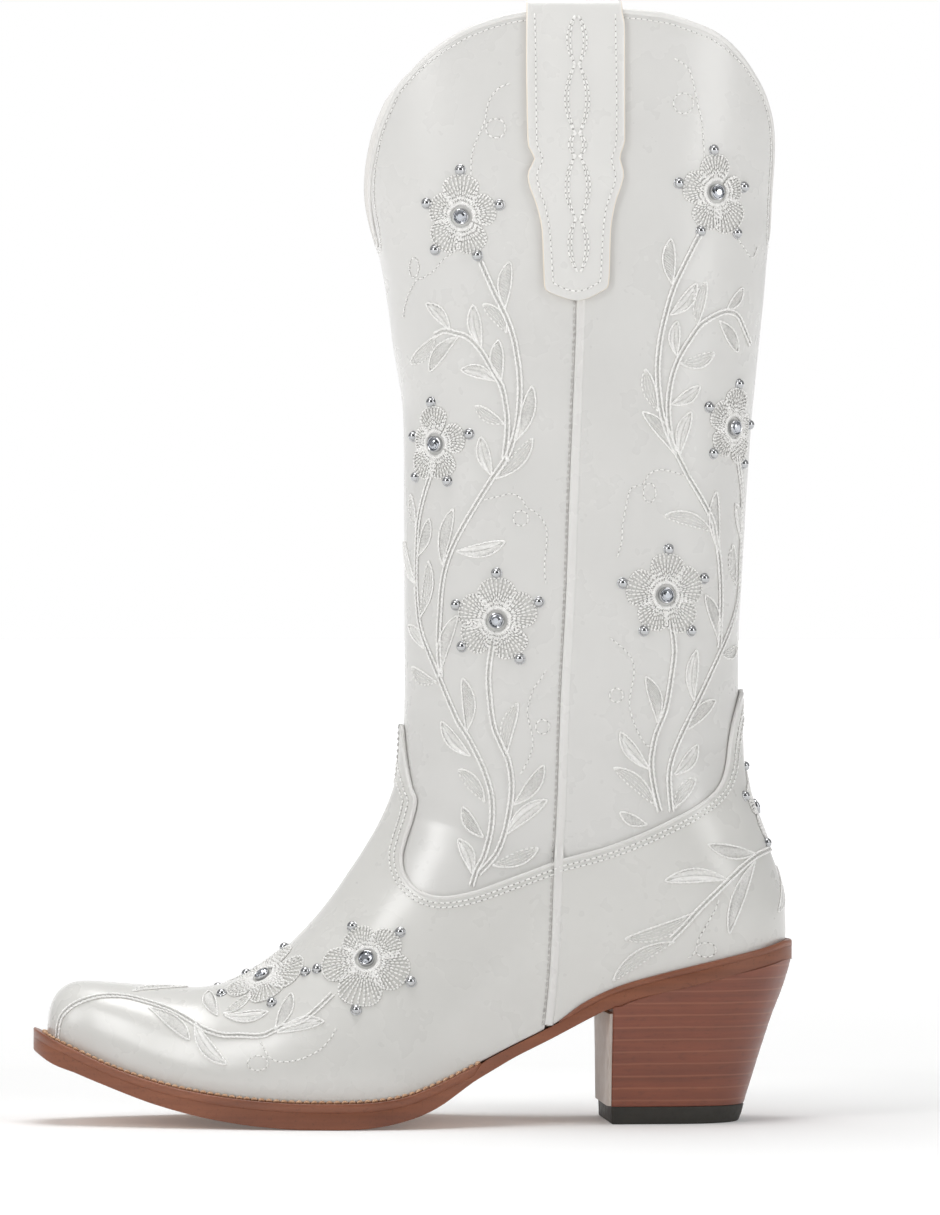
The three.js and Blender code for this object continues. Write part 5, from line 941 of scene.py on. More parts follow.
# side seam: a raised ridge with a grey row of stitches along its front
for name, sd in (("outer", -1), ("inner", 1)):
    zz = np.linspace(312.0, 37.5, 360)
    xs = seam_x(zz)
    off = lerp(0.0, 1.6, smooth(105.0, 99.0, zz))
    s, t = to_st(xs + 1.2, zz)
    PP, NN = drop(S(s, t, sd), off)
    prof = np.array([(-1.75, -0.15), (-1.55, 0.28), (-1.1, 0.55), (-0.4, 0.66), (0.4, 0.62), (1.1, 0.42), (1.7, 0.1), (1.9, -0.15), (0.0, -0.3)])
    V, Qd, T3 = sweep(PP, NN, prof)
    make("seam_ridge_" + name, V, [Qd, T3], [M_BIND], ["side_piping_" + name])
    s, t = to_st(xs - 1.15, zz)
    PP, NN = drop(S(s, t, sd), off - 0.05)
    running(grey, PP, NN, 0.3, 1.9, 0.5, 0.8, hole_shade=0.3)

# pull straps
SL = Table([[306.9, -0.6], [307.6, -4.0], [308.8, -7.5], [310.8, -11.6], [312.6, -12.2], [332.7, -12.8], [341.7, -14.5], [347, -16.4], [350.0, -17.4], [353.8, -17.8], [357, -16.4], [359.4, -15.3], [361.4, -16.1], [363.6, -17.4], [368.9, -17.8], [395.3, -18.1], [414, -17.9]])
SR = Table([[306.9, 0.2], [307.8, 3.6], [309.6, 7.3], [312.2, 11.0], [314.5, 11.4], [332.8, 12.3], [342.6, 14.0], [349.4, 16.3], [353.9, 17.4], [357.5, 16.6], [360.0, 16.0], [362.5, 16.7], [366.0, 17.9], [408.3, 18.0], [414, 17.0]])
STRAP_O, STRAP_T = 1.25, 0.85
def strap_point(w, z, o, sd):
    zc = np.minimum(z, 413.6)
    s, t = to_st(seam_x(zc) + w, zc)
    P, N = drop(S(s, t, sd), 0.0)
    P = P + N * np.asarray(o, float)[..., None]
    P[:, 2] += np.asarray(z) - zc
    return P, N
for name, sd in (("outer", -1), ("inner", 1)):
    rows = [(z, STRAP_O, None) for z in np.concatenate([[306.95, 307.2, 307.6, 308.2, 308.9, 309.8, 310.8, 311.8, 313], np.arange(315.5, 413, 2.2), [413.4]])]
    for a in np.radians(np.arange(0, 181, 15)):
        rows.append((415.6 + 2.2 * math.sin(a), (STRAP_O - 5.1) / 2 + (STRAP_O + 5.1) / 2 * math.cos(a), None))
    rows += [(z, -5.1, None) for z in (412.5, 408, 403, 398, 392, 386, 382.4)]
    rz, ro = np.array([r[0] for r in rows]), np.array([r[1] for r in rows])
    lw, rw = SL(np.minimum(rz, 414)), SR(np.minimum(rz, 414))
    dz, do = np.gradient(rz), np.gradient(ro)
    l = np.hypot(dz, do)
    nz, no = -do / l, dz / l
    cols = 18
    f = (1 - np.cos(np.pi * np.arange(cols + 1) / cols)) / 2 * 0.35 + np.linspace(0, 1, cols + 1) * 0.65
    sec = [(u, STRAP_T, "t") for u in f] + [(1.0, 0.45, "e"), (1.0, -0.45, "e")] + [(u, -STRAP_T, "b") for u in f[::-1]] + [(0.0, -0.45, "e"), (0.0, 0.45, "e")]
    m, n = len(sec), len(rows)
    VV = np.zeros((n, m, 3))
    for j, (u, h, kind) in enumerate(sec):
        w = lw + (rw - lw) * u
        ext = 0.28 if kind == "e" else 0.0
        w = w + (ext if u > 0.5 else -ext) * (1 if kind == "e" else 0)
        inset = 0.22 if (kind in "tb" and u in (0.0, 1.0)) else 0.0
        w = w + (-inset if u > 0.5 else inset)
        pz, po = rz + h * nz, ro + h * no
        VV[:, j], _ = strap_point(w, pz, po, sd)
    idx = np.arange(n * m).reshape(n, m)
    Qd = np.stack([idx[:-1], np.roll(idx[:-1], -1, 1), np.roll(idx[1:], -1, 1), idx[1:]], -1).reshape(-1, 4)
    kind = np.array([0 if (sec[j][2] in "tb" and sec[(j + 1) % m][2] == sec[j][2]) else 1 for j in range(m)])
    mi = np.tile(kind, n - 1)
    V = VV.reshape(-1, 3)
    V = np.concatenate([V, V[:m].mean(0, keepdims=True), V[(n - 1) * m:].mean(0, keepdims=True)])
    T3 = [[n * m, (i + 1) % m, i] for i in range(m)] + [[n * m + 1, (n - 1) * m + i, (n - 1) * m + (i + 1) % m] for i in range(m)]
    if sd < 0:
        Qd = Qd[:, ::-1]
        T3 = [t[::-1] for t in T3]
    make("pull_strap_" + name + "_leather", V, [Qd, np.array(T3)], [M_STRAP, M_CREAM], ["pull_strap_" + name], mat_of=[mi, 1], sharp=50)
    top = STRAP_O + STRAP_T
    def on_strap(W):
        W = np.asarray(W, float)
        P, N = strap_point(W[:, 0], W[:, 1], np.full(len(W), top), sd)
        return P, N
    row = [(-15.1, 413), (-14.8, 395.4), (-14.6, 369), (-14.3, 364), (-12.4, 359.1), (-14.6, 353.5), (-13.2, 346.5), (-11.2, 340.0), (-9.9, 330.0), (-9.1, 315.4), (-8.3, 313.0), (-0.2, 310.4), (7.6, 313.6), (8.4, 316), (9.6, 333.0), (11.0, 342), (13.4, 348.6), (14.4, 353.4), (12.9, 359.2), (14.6, 365.2), (15.0, 380.4), (14.6, 413)]
    PP, NN = on_strap(resample(bezier_smooth(row, 6), 0.6))
    running(white, PP, NN, 0.31, 1.6, 0.65, hole_shade=0.36)
    for z0, z1, hw in ((393.2, 413.2, 3.7), (367.6, 395.4, 4.5), (359.6, 369.6, 3.3), (336.0, 361.8, 4.6), (316.6, 338.4, 3.8)):
        for k in (-1, 1):
            for d in (0.0, 1.25):
                ff = np.linspace(0.04, 0.96, 60)
                pts = np.stack([0.35 + k * np.maximum((hw - d) * np.sin(np.pi * ff) ** 0.8, 0.12), z0 + (z1 - z0) * ff], -1)
                PP, NN = on_strap(pts)
                running(white, PP, NN, 0.32, 1.5, 0.5, hole_shade=0.34)

# ------------------------------------------------------------------ embroidery
def plan(C, o):
    P, N = drop(C, o)
    n = N[0]
    u = unit(np.cross(np.array([0, 0, 1.0]) if abs(n[2]) < 0.8 else np.array([1.0, 0, 0]), n))
    return P[0], n, u, np.cross(n, u)
def lathe(P, n, u, v, rings, seg, tip=None, base=True):
    V, m = [], len(rings)
    a = np.arange(seg) * 2 * np.pi / seg
    for r, h in rings:
        V.append(P + (np.outer(np.cos(a), u) + np.outer(np.sin(a), v)) * r + n * h)
    V = np.concatenate(V)
    idx = np.arange(m * seg).reshape(m, seg)
    Qd = np.stack([idx[:-1], np.roll(idx[:-1], -1, 1), np.roll(idx[1:], -1, 1), idx[1:]], -1).reshape(-1, 4)
    T3 = []
    extra = []
    if tip is not None:
        extra.append(P + n * tip)
        T3 += [[idx[-1, i], idx[-1, (i + 1) % seg], m * seg] for i in range(seg)]
    if base:
        extra.append(P + n * rings[0][1])
        k = m * seg + len(extra) - 1
        T3 += [[idx[0, (i + 1) % seg], idx[0, i], k] for i in range(seg)]
    return np.concatenate([V, np.array(extra)]) if extra else V, Qd, np.array(T3).reshape(-1, 3)
def flower(key, C, studs, o, seed, own=9):
    P, n, u, v = plan(C, o)
    rnd = random.Random(seed)
    ST_, SN = drop(studs, o)
    Wf, Wl, Wn = [], [], []
    A0, A1 = [], []
    B0, B1 = [], []
    K, KS = [], []
    for j, q in enumerate(ST_):
        d = q - P
        du, dv = d @ u, d @ v
        R = math.hypot(du, dv)
        e = np.array([du, dv]) / R
        w = np.array([-e[1], e[0]])
        R = R - 1.7
        Wm = 0.43 * R
        def out(f, side):
            """Edge of the petal: f from its neck to its tip."""
            r = 3.4 + (R - 3.4) * f
            k = 0.42 + 0.58 * math.sin(math.pi / 2 * min(1, f / 0.58)) if f < 0.58 else math.sqrt(max(0.0, 1 - ((f - 0.58) / 0.42) ** 2.3))
            return e * r + w * side * Wm * k * (1 + 0.03 * math.sin(9 * f + seed + j))
        for side in (-1, 1):
            ff = np.array([0.06, 0.2, 0.34, 0.48, 0.62, 0.75, 0.86, 0.94, 0.985] + ([1.0] if side > 0 else []))
            for i, f in enumerate(ff):
                tip = out(f, side)
                root = unit(e * 3.3 + w * side * (2.1 * (1 - f) ** 0.8)) * (4.0 + 0.3 * (i % 2))
                run = np.linalg.norm(tip - root)
                n_s = max(1, int(round(run / 1.75)))
                for q_ in range(n_s):
                    p0 = (q_ + 0.12 * (i % 2)) / n_s
                    p1 = min(0.97, (q_ + 0.86 + 0.12 * (i % 2)) / n_s)
                    jog = w * rnd.uniform(-0.07, 0.07)
                    A0.append(root + (tip - root) * p0 + jog)
                    A1.append(root + (tip - root) * p1 + jog)
            edge = np.array([out(f, side) for f in np.concatenate([np.linspace(0.0, 0.9, 60), 1 - np.linspace(0.1 ** 0.5, 0, 60) ** 2])])
            edge = resample(edge, 1.3)
            for i in range(len(edge) - 1):
                d_ = edge[i + 1] - edge[i]
                B0.append(edge[i])
                B1.append(edge[i] + d_ * 0.84)
                K.append(edge[i] + d_ * 0.92)
    to3 = lambda L: P + np.outer(np.array(L)[:, 0], u) + np.outer(np.array(L)[:, 1], v)
    a0, n0 = drop(to3(A0), o)
    a1, _ = drop(to3(A1), o)
    stitches(white, a0, a1, n0, 0.34, 1.2, lift=0.6)
    b0, n1 = drop(to3(B0), o)
    b1, _ = drop(to3(B1), o)
    stitches(white, b0, b1, n1, 0.36, 0.9, lift=0.5)
    # dark cones just past each outline stitch: painted shade of the needle holes
    k, kn = drop(to3(K), o)
    hole_shade_dots(hole_shades, k, kn, 0.3)
    # hardware
    hw, st = Bag(), Bag()
    domes = [(2.12, -0.3), (2.12, 0.22), (2.0, 0.36), (1.86, 0.42)] + [(1.84 * math.cos(a), 0.42 + 1.62 * math.sin(a)) for a in np.radians([12, 26, 40, 54, 67, 79])]
    for q, m in list(zip(ST_, SN))[:own]:
        uu = unit(np.cross(np.array([0, 0, 1.0]) if abs(m[2]) < 0.8 else np.array([1.0, 0, 0]), m))
        hw.add(*lathe(q, m, uu, np.cross(m, uu), domes, 22, tip=2.05))
    cupr = [(3.0, -0.4), (3.0, 0.5), (3.08, 1.0), (3.02, 1.5), (2.86, 1.78), (2.66, 1.86), (2.48, 1.78), (2.36, 1.55), (2.3, 1.2)]
    hw.add(*lathe(P, n, u, v, cupr, 32, tip=1.1))
    # a turned bezel inside the cup, and the faceted stone
    seg = 10
    rings = [(2.22, 1.15), (2.28, 1.45), (1.75, 2.05), (1.05, 2.42)]
    V, Qd, T3 = lathe(P, n, u, v, rings, seg, tip=2.42)
    ang = np.arange(seg) * 2 * np.pi / seg + np.pi / seg
    V[2 * seg:3 * seg] = P + (np.outer(np.cos(ang), u) + np.outer(np.sin(ang), v)) * 1.75 + n * 2.05
    st.add(V, Qd, T3)
    hw.make("rivets_" + key, M_CHROME, "stud_chrome", ["studs_" + key], sharp=38)
    o2 = make("stone_" + key, np.concatenate(st.V), st.faces(), [M_STONE], ["crystal_" + key], smooth_on=False)
def two_ropes(P, N, gap=0.78, r=0.42):
    T = unit(np.gradient(P, axis=0))
    A = unit(np.cross(N, T))
    for k in (-1, 1):
        running(white, P + A * gap * k, N, r, 2.3, -0.45, 0.7, slant=0.10 * k, lift=0.35)
    running(silver, P, N, 0.15, 1.4, 0.5, 0.5, lift=0.1)
def on(P, sd, o, step=0.5):
    L = resample(bezier_smooth(P, 6), step)
    s, t = to_st(L[:, 0], L[:, 1])
    return drop(S(s, t, sd), o)
def leaf(tip, base, sd, o, i):
    A, B = np.array(tip), np.array(base)
    (a, b), nn = drop(xz([A, B], sd), o)
    n = unit(nn.sum(0))
    d = b - a
    Lg = np.linalg.norm(d)
    d = d / Lg
    w = unit(np.cross(n, d))
    rnd = random.Random(i * 7 + 3)
    bend = (0.10 if i % 2 else -0.10) * Lg * (0.6 + 0.4 * rnd.random())
    W = min(2.5, 0.125 * Lg + 0.55)
    f = np.linspace(0, 1, 44)
    mid = a + np.outer(f * Lg, d) + np.outer(bend * 4 * f * (1 - f), w)
    hw = W * np.sin(np.pi * np.clip(f ** 0.85, 0, 1)) ** 0.9
    P1, N1 = drop(mid + w * hw[:, None], o)
    P2, N2 = drop(mid - w * hw[:, None], o)
    PM, NM = drop(mid, o)
    style = i % 3
    running(white, P1, N1, 0.36, 1.9, -0.3, 0.7, slant=0.06, lift=0.3)
    running(white, P2, N2, 0.36 if style != 2 else 0.3, 1.9 if style != 2 else 1.2, -0.3 if style != 2 else 0.6, 0.7, slant=-0.06, lift=0.3)
    n_t = max(4, int(Lg / 0.62))
    g = np.linspace(0.07, 0.93, n_t)
    at = lambda u, X: np.stack([np.interp(u, f, X[:, k]) for k in range(3)], -1)
    if style == 0:
        stitches(silver, at(g, P1 * 0.86 + PM * 0.14), at(np.clip(g + 0.10, 0, 1), P2 * 0.86 + PM * 0.14), at(g, NM), 0.24, 0.7, lift=0.15)
    elif style == 1:
        stitches(silver, at(g, P1 * 0.86 + PM * 0.14), at(np.clip(g + 0.13, 0, 1), PM), at(g, NM), 0.25, 0.9)
        stitches(white, at(g, P2 * 0.86 + PM * 0.14), at(np.clip(g + 0.13, 0, 1), PM), at(g, NM), 0.2, 0.9)
    else:
        for k in (0.25, 0.5, 0.75):
            running(silver, P1 * k + P2 * (1 - k), NM, 0.22, 2.4, 0.25, 0.5, lift=0.1)
for sd in (-1, 1):
    for o, stems, leaves, curls in ((0.0, STEM_SHAFT, LEAF_SHAFT, CURL_SHAFT), (1.6, STEM_FOOT, LEAF_FOOT, CURL_FOOT)):
        for P in stems:
            two_ropes(*on(P, sd, o))
        for i, (a, b) in enumerate(leaves):
            leaf(a, b, sd, o, i)
        for P in curls:
            PP, NN = on(P, sd, o)
            running(white, PP, NN, 0.3, 1.45, 0.75, 1.0, hole_shade=0.3)
    word = "outer" if sd < 0 else "inner"
    for i, (name, x, z, studs) in enumerate(SHAFT_FLOWERS):
        flower(word + "_" + name, xz([[x, z]], sd), xz(studs, sd), 0.0, i + 1)
    flower("vamp_" + word + "_side", xz([[-19.2, 61.6]], sd), xz([[-23.5, 73.4], [-6.6, 71.8], [-3.3, 53.9], [-23.9, 43.5], [-36.9, 57.7]], sd), 1.6, 9)
VT = [[-71.8, -12, 46.5], [-54.1, -29, 45.5], [-41.2, -25.7, 56.5]]
flower("vamp_outer_top", [[-55.8, -12.8, 53.6]], VT + [[-47.1, 0.6, 64.0], [-61.9, 1.1, 54.4]], 1.6, 11)
flower("vamp_inner_top", [[-55.8, 14.6, 53.6]], [[x, 1.6 - y, z] for x, y, z in VT] + [[-47.1, 0.6, 64.0], [-61.9, 1.1, 54.4]], 1.6, 12, own=3)
bx_ = lambda z: float(back_xz(z))
flower("heel_back", [[bx_(117), 0, 117]], [[bx_(133), 0, 133], [bx_(122) - 2.5, -13.5, 122], [bx_(122) - 2.5, 13.5, 122], [bx_(104) - 1, -9, 104], [bx_(104) - 1, 9, 104]], 1.6, 13)
white.make_split("embroidery_white", M_THREAD, None)
silver.make_split("embroidery_satin", M_SILVER, None)
# painted shade of the needle holes, as dark cones
hole_shades.make_split("needle_hole_shades", M_HOLE_SHADE, None)
grey.make("seam_stitches", M_GREY, None)

# ------------------------------------------------------------------ bottom
GAP = 0.3
reach = Table([[-143, 7.2], [-128, 6.4], [-100, 5.4], [0, 5.2], [10, 4.9], [18, 3.9], [30, 2.5], [48, 2.1], [60, 2.9], [75, 3.2], [110, 3.6], [140, 4.4]])
def plan_half(x, side):
    return (w_lat(x) if side < 0 else w_med(x)) * toe_round(x) * heel_round(x, 66.04)
def outline(n):
    x = lerp(TIP_X, 139.0, (1 - np.cos(np.pi * np.arange(1, n) / n)) / 2)
    a = np.stack([x, centre_y(x) - plan_half(x, -1)], -1)
    b = np.stack([x, centre_y(x) + plan_half(x, 1)], -1)
    return np.concatenate([[[TIP_X, float(centre_y(TIP_X))]], a, [[139.0, 0.0]], b[::-1]])
def grow(loop, k):
    nx = np.roll(loop, -1, 0) - np.roll(loop, 1, 0)
    nrm = unit(np.stack([nx[:, 1], -nx[:, 0]], -1))
    k = k(loop[:, 0]) if callable(k) else np.full(len(loop), float(k))
    return loop + nrm * k[:, None]
NB = 150
base = outline(NB)
edge_lift = lambda x: np.where(x < TIP_X, (TIP_X - x) * 0.52, 0.0)
under = lambda x: seat_z(np.clip(x, TIP_X, 139.0)) - GAP + edge_lift(x)
sole_top = lambda x: under(x) - 3.3 * smooth(23.5, 20.5, x)
sole_low = lambda x: np.where(x < 72, sole_z(x) - 1.6 * smooth(-126.0, -141.0, x), lerp(float(sole_z(72.0)), seat_z(np.minimum(x, 139.0)) - GAP - 5.2, smooth(72, 80, x)))
def slab(name, loop, zlo, zhi, mats, replaces, r=0.5, r2=0.5, cols=10, keep=None, under_mat=0):
    """A layer of the bottom: a plan loop between two heights, both edges rounded."""
    n = len(loop)
    h = n // 2
    angs = np.radians([0, 25, 50, 75, 90])
    rings, nrm = [], grow(loop, 1.0) - loop
    for a in angs:
        L = loop - nrm * (r * (1 - math.sin(a)))
        rings.append((L, zhi(loop[:, 0]) - r * (1 - math.cos(a))))
    for a in angs[::-1]:
        L = loop - nrm * (r2 * (1 - math.sin(a)))
        rings.append((L, zlo(loop[:, 0]) + r2 * (1 - math.cos(a))))
    V = [np.column_stack([L, z]) for L, z in rings]
    m = len(V)
    idx = np.arange(m * n).reshape(m, n)
    Qd = [np.stack([idx[:-1], np.roll(idx[:-1], -1, 1), np.roll(idx[1:], -1, 1), idx[1:]], -1).reshape(-1, 4)]
    mi = [np.zeros(len(Qd[0]), int)]
    total = m * n
    for which, row, fn, flip in ((0, 0, zhi, False), (1, m - 1, zlo, True)):
        L = rings[row][0]
        Z = rings[row][1]
        f = np.linspace(0, 1, cols + 1)
        grid = np.zeros((h - 1, cols + 1), int)
        new = []
        for k in range(1, h):
            a, b = L[k], L[n - k]
            grid[k - 1, 0], grid[k - 1, -1] = idx[row, k], idx[row, n - k]
            for j in range(1, cols):
                p = a + (b - a) * f[j]
                za = Z[k] + (Z[n - k] - Z[k]) * f[j]
                new.append([p[0], p[1], za])
                grid[k - 1, j] = total + len(new) - 1
        V.append(np.array(new))
        total += len(new)
        q = np.stack([grid[:-1, :-1], grid[:-1, 1:], grid[1:, 1:], grid[1:, :-1]], -1).reshape(-1, 4)
        t = [[idx[row, 0], grid[0, j + 1], grid[0, j]] for j in range(cols)] + [[idx[row, h], grid[-1, j], grid[-1, j + 1]] for j in range(cols)]
        t = np.array(t)
        q2 = q if flip else q[:, ::-1]
        t2 = t[:, ::-1] if flip else t
        Qd.append(q2[:, ::-1])
        mi.append(np.full(len(q2), which * under_mat))
        Qd.append(t2[:, ::-1])
        mi.append(np.full(len(t2), which * under_mat))
    return make(name, np.concatenate(V), Qd, mats, replaces, mat_of=mi)
def fix_out(ob):
    import bmesh
    bm = bmesh.new()
    bm.from_mesh(ob.data)
    bmesh.ops.recalc_face_normals(bm, faces=bm.faces)
    bm.to_mesh(ob.data)
    bm.free()
    return ob
fix_out(slab("outsole_leather", grow(base, reach), sole_low, sole_top, [M_SOLE, M_SOLE_UNDER], ["outsole"], r=0.04, r2=0.8, under_mat=1))
up = lambda k: (lambda x: seat_z(np.clip(x, TIP_X, 139.0)) + k)
board_edge = lambda x: lerp(-4.0, -6.8, smooth(80, 112, x))
fix_out(slab("sock", grow(base, board_edge), up(4.3), up(6.6), [M_SOCK], ["sock_lining"], r=0.8, r2=0.3))
def strip(name, order, inner, outer, zlo, zhi, r, mat, node, taper=None):
    a, b = grow(base, inner), grow(base, outer)
    A, B = a[order], b[order]
    x = base[order][:, 0]
    d = unit(B - A)
    lo, hi = zlo(x), zhi(x)
    secs = []
    for t, z in [(0.0, "h0"), (0.35, "h"), (0.7, "h")]:
        secs.append(np.column_stack([A + (B - A - d * r) * t, zhi(A[:, 0] + (B - A)[:, 0] * t)]))
    for an in np.radians([0, 30, 60, 90]):
        secs.append(np.column_stack([B - d * (r * (1 - math.sin(an))), zhi(B[:, 0]) - r * (1 - math.cos(an))]))
    secs.append(np.column_stack([B, zlo(B[:, 0])]))
    secs.append(np.column_stack([A, zlo(A[:, 0])]))
    V = np.stack(secs, 1)
    n, m = V.shape[:2]
    idx = np.arange(n * m).reshape(n, m)
    Qd = np.stack([idx[:-1], np.roll(idx[:-1], -1, 1), np.roll(idx[1:], -1, 1), idx[1:]], -1).reshape(-1, 4)
    V = V.reshape(-1, 3)
    V = np.concatenate([V, V[:m].mean(0, keepdims=True), V[-m:].mean(0, keepdims=True)])
    T3 = [[n * m, (i + 1) % m, i] for i in range(m)] + [[n * m + 1, (n - 1) * m + i, (n - 1) * m + (i + 1) % m] for i in range(m)]
    return fix_out(make(name, V, [Qd, np.array(T3)], [mat], [node]))
n_ = len(base)
welt_order = [k % n_ for k in range(1 - n_ // 2, n_ // 2) if base[k % n_][0] < 23.5]
strip("welt_strip", welt_order, -3.0, lambda x: reach(x) - 0.02, lambda x: np.minimum(np.maximum(sole_top(x) + 0.02, under(x) - 3.4), under(x) - 0.2), under, 0.4, M_WELT, "welt")
rand_order = [k for k in range(1, n_) if base[k][0] > 51.0]
rz_hi = lambda x: under(x) + 0.25 + 2.1 * smooth(49.0, 62.0, x)
strip("rand_strip", rand_order, 1.9, lambda x: reach(x) + 0.05, lambda x: under(x) + 0.05, rz_hi, 0.7, M_WELT, "heel_rand")
# welt stitching: thick tan stitches lying across the ridge of the welt
ridge_bag = Bag()
welt_line = grow(base, lambda x: 2.05 + 0.18 * (reach(x) - 2.0))[welt_order]
xz_ = np.column_stack([welt_line, under(welt_line[:, 0])])
WL = resample(xz_, 0.4)
WN = np.tile([0, 0, 1.0], (len(WL), 1))
running(tan, WL + np.array([0, 0, 0.1]), WN, 0.6, 2.3, 0.5, 0.7, slant=0.3, lift=0.25)
# a narrow raised bead of welt leather just inside the stitches
for dd, rr in ((0.95, 0.45),):
    LL = grow(base, lambda x: dd + 0.8 + 0.0 * x)[welt_order]
    LL = resample(np.column_stack([LL, under(LL[:, 0]) + 0.05]), 0.8)
    cord(ridge_bag, LL, np.tile([0, 0, 1.0], (len(LL), 1)), rr, lift=0.2, n=8)
ridge_bag.make("welt_bead", M_WELT, "welt_leather")
tan.make("welt_stitches", M_TAN, None)

# heel
BREAST, LIFT_T = 72.5, 6.6
HB = Table([[6.9, 125.0], [7.64, 125.2], [16.86, 128.1], [27.82, 131.55], [39.91, 135.65], [50.31, 139.7], [60.5, 142.7], [63.0, 143.1], [66.0, 143.4]])
def d_loop(x0, xb, w, n=56, corner=0.9):
    depth = xb - x0
    k0 = depth * 0.52
    P = []
    for a in np.radians([180, 205, 225, 245, 270]):
        P.append([x0 + corner + corner * math.cos(a), -w + corner + corner * math.sin(a)])
    for y in np.linspace(x0 + corner + 2, x0 + depth - k0 - 1, 10):
        P.append([y, -w])
    for k in range(n + 1):
        a = -math.pi / 2 + math.pi * k / n
        P.append([x0 + (depth - k0) + k0 * abs(math.cos(a)) ** 0.86, w * (1 if a > 0 else -1) * abs(math.sin(a)) ** 0.93])
    for y in np.linspace(x0 + depth - k0 - 1, x0 + corner + 2, 10):
        P.append([y, w])
    for a in np.radians([90, 115, 135, 155, 180]):
        P.append([x0 + corner + corner * math.cos(a), w - corner + corner * math.sin(a)])
    return np.array(P)
def loft(name, loops, mats, nodes, cap_cols=6):
    V = np.concatenate(loops)
    m, n = len(loops), len(loops[0])
    idx = np.arange(m * n).reshape(m, n)
    Qd = np.stack([idx[:-1], np.roll(idx[:-1], -1, 1), np.roll(idx[1:], -1, 1), idx[1:]], -1).reshape(-1, 4)
    T3 = []
    Q2 = []
    for row in (0, m - 1):
        for i in range(n // 2 - 1):
            a, b, c, d = idx[row, i], idx[row, i + 1], idx[row, n - 2 - i], idx[row, n - 1 - i]
            if b != c:
                Q2.append([a, b, c, d])
        k = n // 2 - 1
        if n % 2:
            T3.append([idx[row, k], idx[row, k + 1], idx[row, n - 1 - k]])
    return fix_out(make(name, V, [f for f in (Qd, np.array(Q2), np.array(T3).reshape(-1, 3)) if len(f)], mats, nodes, sharp=40))
levels = np.unique(np.concatenate([np.linspace(0, 1, 61), [0.004, 0.008, 0.992, 0.996]]))
z0 = LIFT_T + GAP - 0.25
loops = []
for f in levels:
    zb = lerp(z0, float(sole_low(140.0)) - 0.1, f)
    xb = float(HB(zb))
    w = lerp(25.5, 33.6, f ** 1.15)
    L = d_loop(BREAST, xb, w)
    top = sole_low(d_loop(BREAST, 143.2, 33.6)[:, 0]) + 0.35
    z = lerp(z0, top, f)
    grv = 0.07 * np.exp(-(((z + 2.3) / 4.55 % 1 - 0.5) / 0.05) ** 2)
    c = np.array([105.0, 0.0])
    L = L - unit(L - c) * grv[:, None]
    e = 0.25 * (smooth(0.008, 0, f))
    L = L - unit(L - c) * float(e)
    loops.append(np.column_stack([L, z]))
loft("heel_stack", loops, [M_HEEL], ["heel_block"])
loops = []
for z, k in ((0.0, -0.75), (0.12, -0.42), (0.4, -0.15), (0.85, -0.02), (3.2, 0.0), (6.0, 0.12), (6.3, 0.08), (6.55, -0.15)):
    xb = float(HB(6.9)) - 0.3 - 1.6 * smooth(5.5, 0, z)
    L = d_loop(BREAST + 0.05, xb, 25.5 - 0.5 * float(smooth(4, 0, z)))
    L = L + unit(L - np.array([100.0, 0.0])) * k
    loops.append(np.column_stack([L, np.full(len(L), z)]))
loft("top_lift", loops, [M_RUBBER], ["heel_top_lift"])
def plate(z):
    w = float(np.interp(z, [6.9, 25, 44], [25.0, 27.2, 30.8]))
    return w
zz = np.linspace(6.9, 41.6, 26)
ny = 16
V, m = [], 0
for x in (BREAST - 1.5, BREAST - 0.02):
    for z in zz:
        w = plate(z) - (0.35 if x < BREAST - 1 else 0)
        for y in np.linspace(-w, w, ny + 1):
            ed = max(0, 1 - (w - abs(y)) / 0.9)
            V.append([x + (0.5 * ed * ed if x < BREAST - 1 else 0) , y, z])
nz_, nn = len(zz), ny + 1
i0 = np.arange(nz_ * nn).reshape(nz_, nn)
i1 = i0 + nz_ * nn
Qd = [np.stack([i0[:-1, :-1], i0[:-1, 1:], i0[1:, 1:], i0[1:, :-1]], -1).reshape(-1, 4), np.stack([i1[:-1, :-1], i1[1:, :-1], i1[1:, 1:], i1[:-1, 1:]], -1).reshape(-1, 4)]
for a, b in ((i0[:, 0], i1[:, 0]), (i1[:, -1], i0[:, -1])):
    Qd.append(np.stack([a[:-1], a[1:], b[1:], b[:-1]], -1))
for a, b in ((i1[0], i0[0]), (i0[-1], i1[-1])):
    Qd.append(np.stack([a[:-1], a[1:], b[1:], b[:-1]], -1))
fix_out(make("breast_facing", np.array(V), Qd, [M_FACE], ["heel_breast_facing"], sharp=50))

# hidden CAD parts keep their shape and get a finish
for node, mat in (("insole_board", M_BOARD), ("sole_filler", M_BOARD), ("toe_puff", M_BOARD), ("heel_stiffener", M_BOARD), ("steel_shank", M_STEEL), ("heel_screw", M_STEEL)):
    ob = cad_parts[node]
    ob.data.materials.clear()
    ob.data.materials.append(mat)

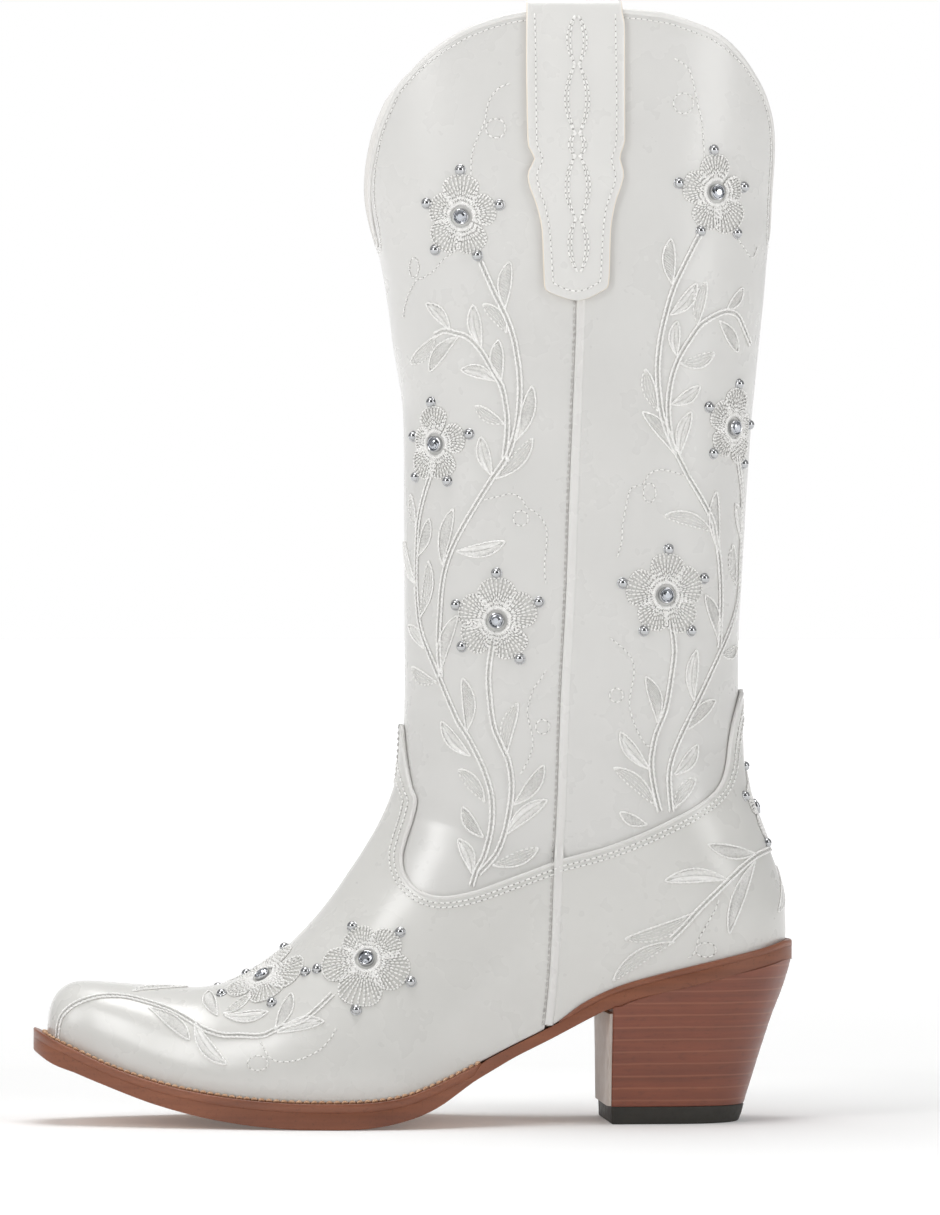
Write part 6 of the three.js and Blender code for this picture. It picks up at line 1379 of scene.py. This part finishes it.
# ------------------------------------------------------------------ floor, light, camera
def stage_mesh(name, V, F, mat):
    me = bpy.data.meshes.new(name)
    me.from_pydata(V, [], F)
    me.materials.append(mat)
    for p in me.polygons:
        p.use_smooth = True
    ob = bpy.data.objects.new(name, me)
    bpy.context.scene.collection.objects.link(ob)
    return ob
m, nt, b = material("floor")
g = G(nt)
g.to(g.ramp(g.noise(g.scaled(1.0), 3.0, 2.0), [(0.3, (0.86, 0.86, 0.855, 1)), (0.7, (0.88, 0.88, 0.878, 1))]), b.inputs["Base Color"])
b.inputs["Roughness"].default_value = 0.7
b.inputs["Specular IOR Level"].default_value = 0.1
b.inputs["Emission Color"].default_value = (1, 1, 1, 1)
grad = nt.nodes.new("ShaderNodeVectorMath")
grad.operation = "LENGTH"
nt.links.new(g.co, grad.inputs[0])
far = nt.nodes.new("ShaderNodeMapRange")
far.inputs["From Min"].default_value = 0.35
far.inputs["From Max"].default_value = 2.2
far.inputs["To Min"].default_value = 0.11
far.inputs["To Max"].default_value = 0.85
nt.links.new(grad.outputs["Value"], far.inputs[0])
g.to(far.outputs[0], b.inputs["Emission Strength"])
R_ = 40.0
stage_mesh("floor", [(-R_, -R_, 0), (R_, -R_, 0), (R_, R_, 0), (-R_, R_, 0)], [(0, 1, 2, 3)], m)

w = bpy.data.worlds.new("studio")
bpy.context.scene.world = w
w.use_nodes = True
nt = w.node_tree
nt.nodes.clear()
out = nt.nodes.new("ShaderNodeOutputWorld")
bg = nt.nodes.new("ShaderNodeBackground")
tc = nt.nodes.new("ShaderNodeTexCoord")
sp = nt.nodes.new("ShaderNodeSeparateXYZ")
nt.links.new(tc.outputs["Generated"], sp.inputs[0])
# dim straight ahead of the boot, pale soft boxes in front to both sides, white behind it
mp = nt.nodes.new("ShaderNodeMapRange")
mp.inputs["From Min"].default_value = -1.0
mp.inputs["From Max"].default_value = 1.0
nt.links.new(sp.outputs[1], mp.inputs[0])
ramp = nt.nodes.new("ShaderNodeValToRGB")
e = ramp.color_ramp.elements
e[0].position, e[0].color = 0.0, (0.05, 0.05, 0.052, 1)
e[1].position, e[1].color = 0.975, (1.0, 1.0, 1.0, 1)
for p_, c_ in ((0.07, 0.08), (0.2, 0.42), (0.42, 0.36), (0.7, 0.34), (0.92, 0.5)):
    x_ = e.new(p_)
    x_.color = (c_, c_, c_ * 1.005, 1)
nt.links.new(mp.outputs[0], ramp.inputs[0])
nt.links.new(ramp.outputs[0], bg.inputs[0])
bg.inputs[1].default_value = 1.0
nt.links.new(bg.outputs[0], out.inputs[0])
def area(name, loc, target, size, power, sy=None, colour=(1, 1, 1)):
    L = bpy.data.lights.new(name, "AREA")
    L.shape = "RECTANGLE"
    L.size, L.size_y = size, sy or size
    L.energy = power
    L.color = colour
    ob = bpy.data.objects.new(name, L)
    ob.location = loc
    ob.rotation_euler = (Vector(target) - Vector(loc)).to_track_quat("-Z", "Y").to_euler()
    bpy.context.scene.collection.objects.link(ob)
    return ob
area("key_left", (-1.05, -1.05, 0.95), (0.0, 0, 0.22), 0.4, 7.4, 1.0)
area("fill_right", (1.15, -0.95, 0.8), (0.05, 0, 0.22), 0.5, 5.0, 1.2)
area("top_soft", (-0.1, 0.05, 1.6), (0.0, 0, 0.0), 0.9, 14.5, 0.8)

D, PSI = 2757.0, math.radians(4.6)
cam = bpy.data.cameras.new("camera")
cam.lens = 217.2
cam.sensor_width = 36.0
cam.clip_start, cam.clip_end = 0.1, 100.0
cob = bpy.data.objects.new("camera", cam)
c = (np.array([21.6 - D * math.sin(PSI), -D * math.cos(PSI), 193.0]) + SHIFT) * MM
cob.location = tuple(c)
cob.rotation_euler = (math.pi / 2, 0.0, -PSI)
bpy.context.scene.collection.objects.link(cob)
bpy.context.scene.camera = cob
bpy.context.scene.view_settings.view_transform = "Standard"
bpy.context.scene.view_settings.look = "None"
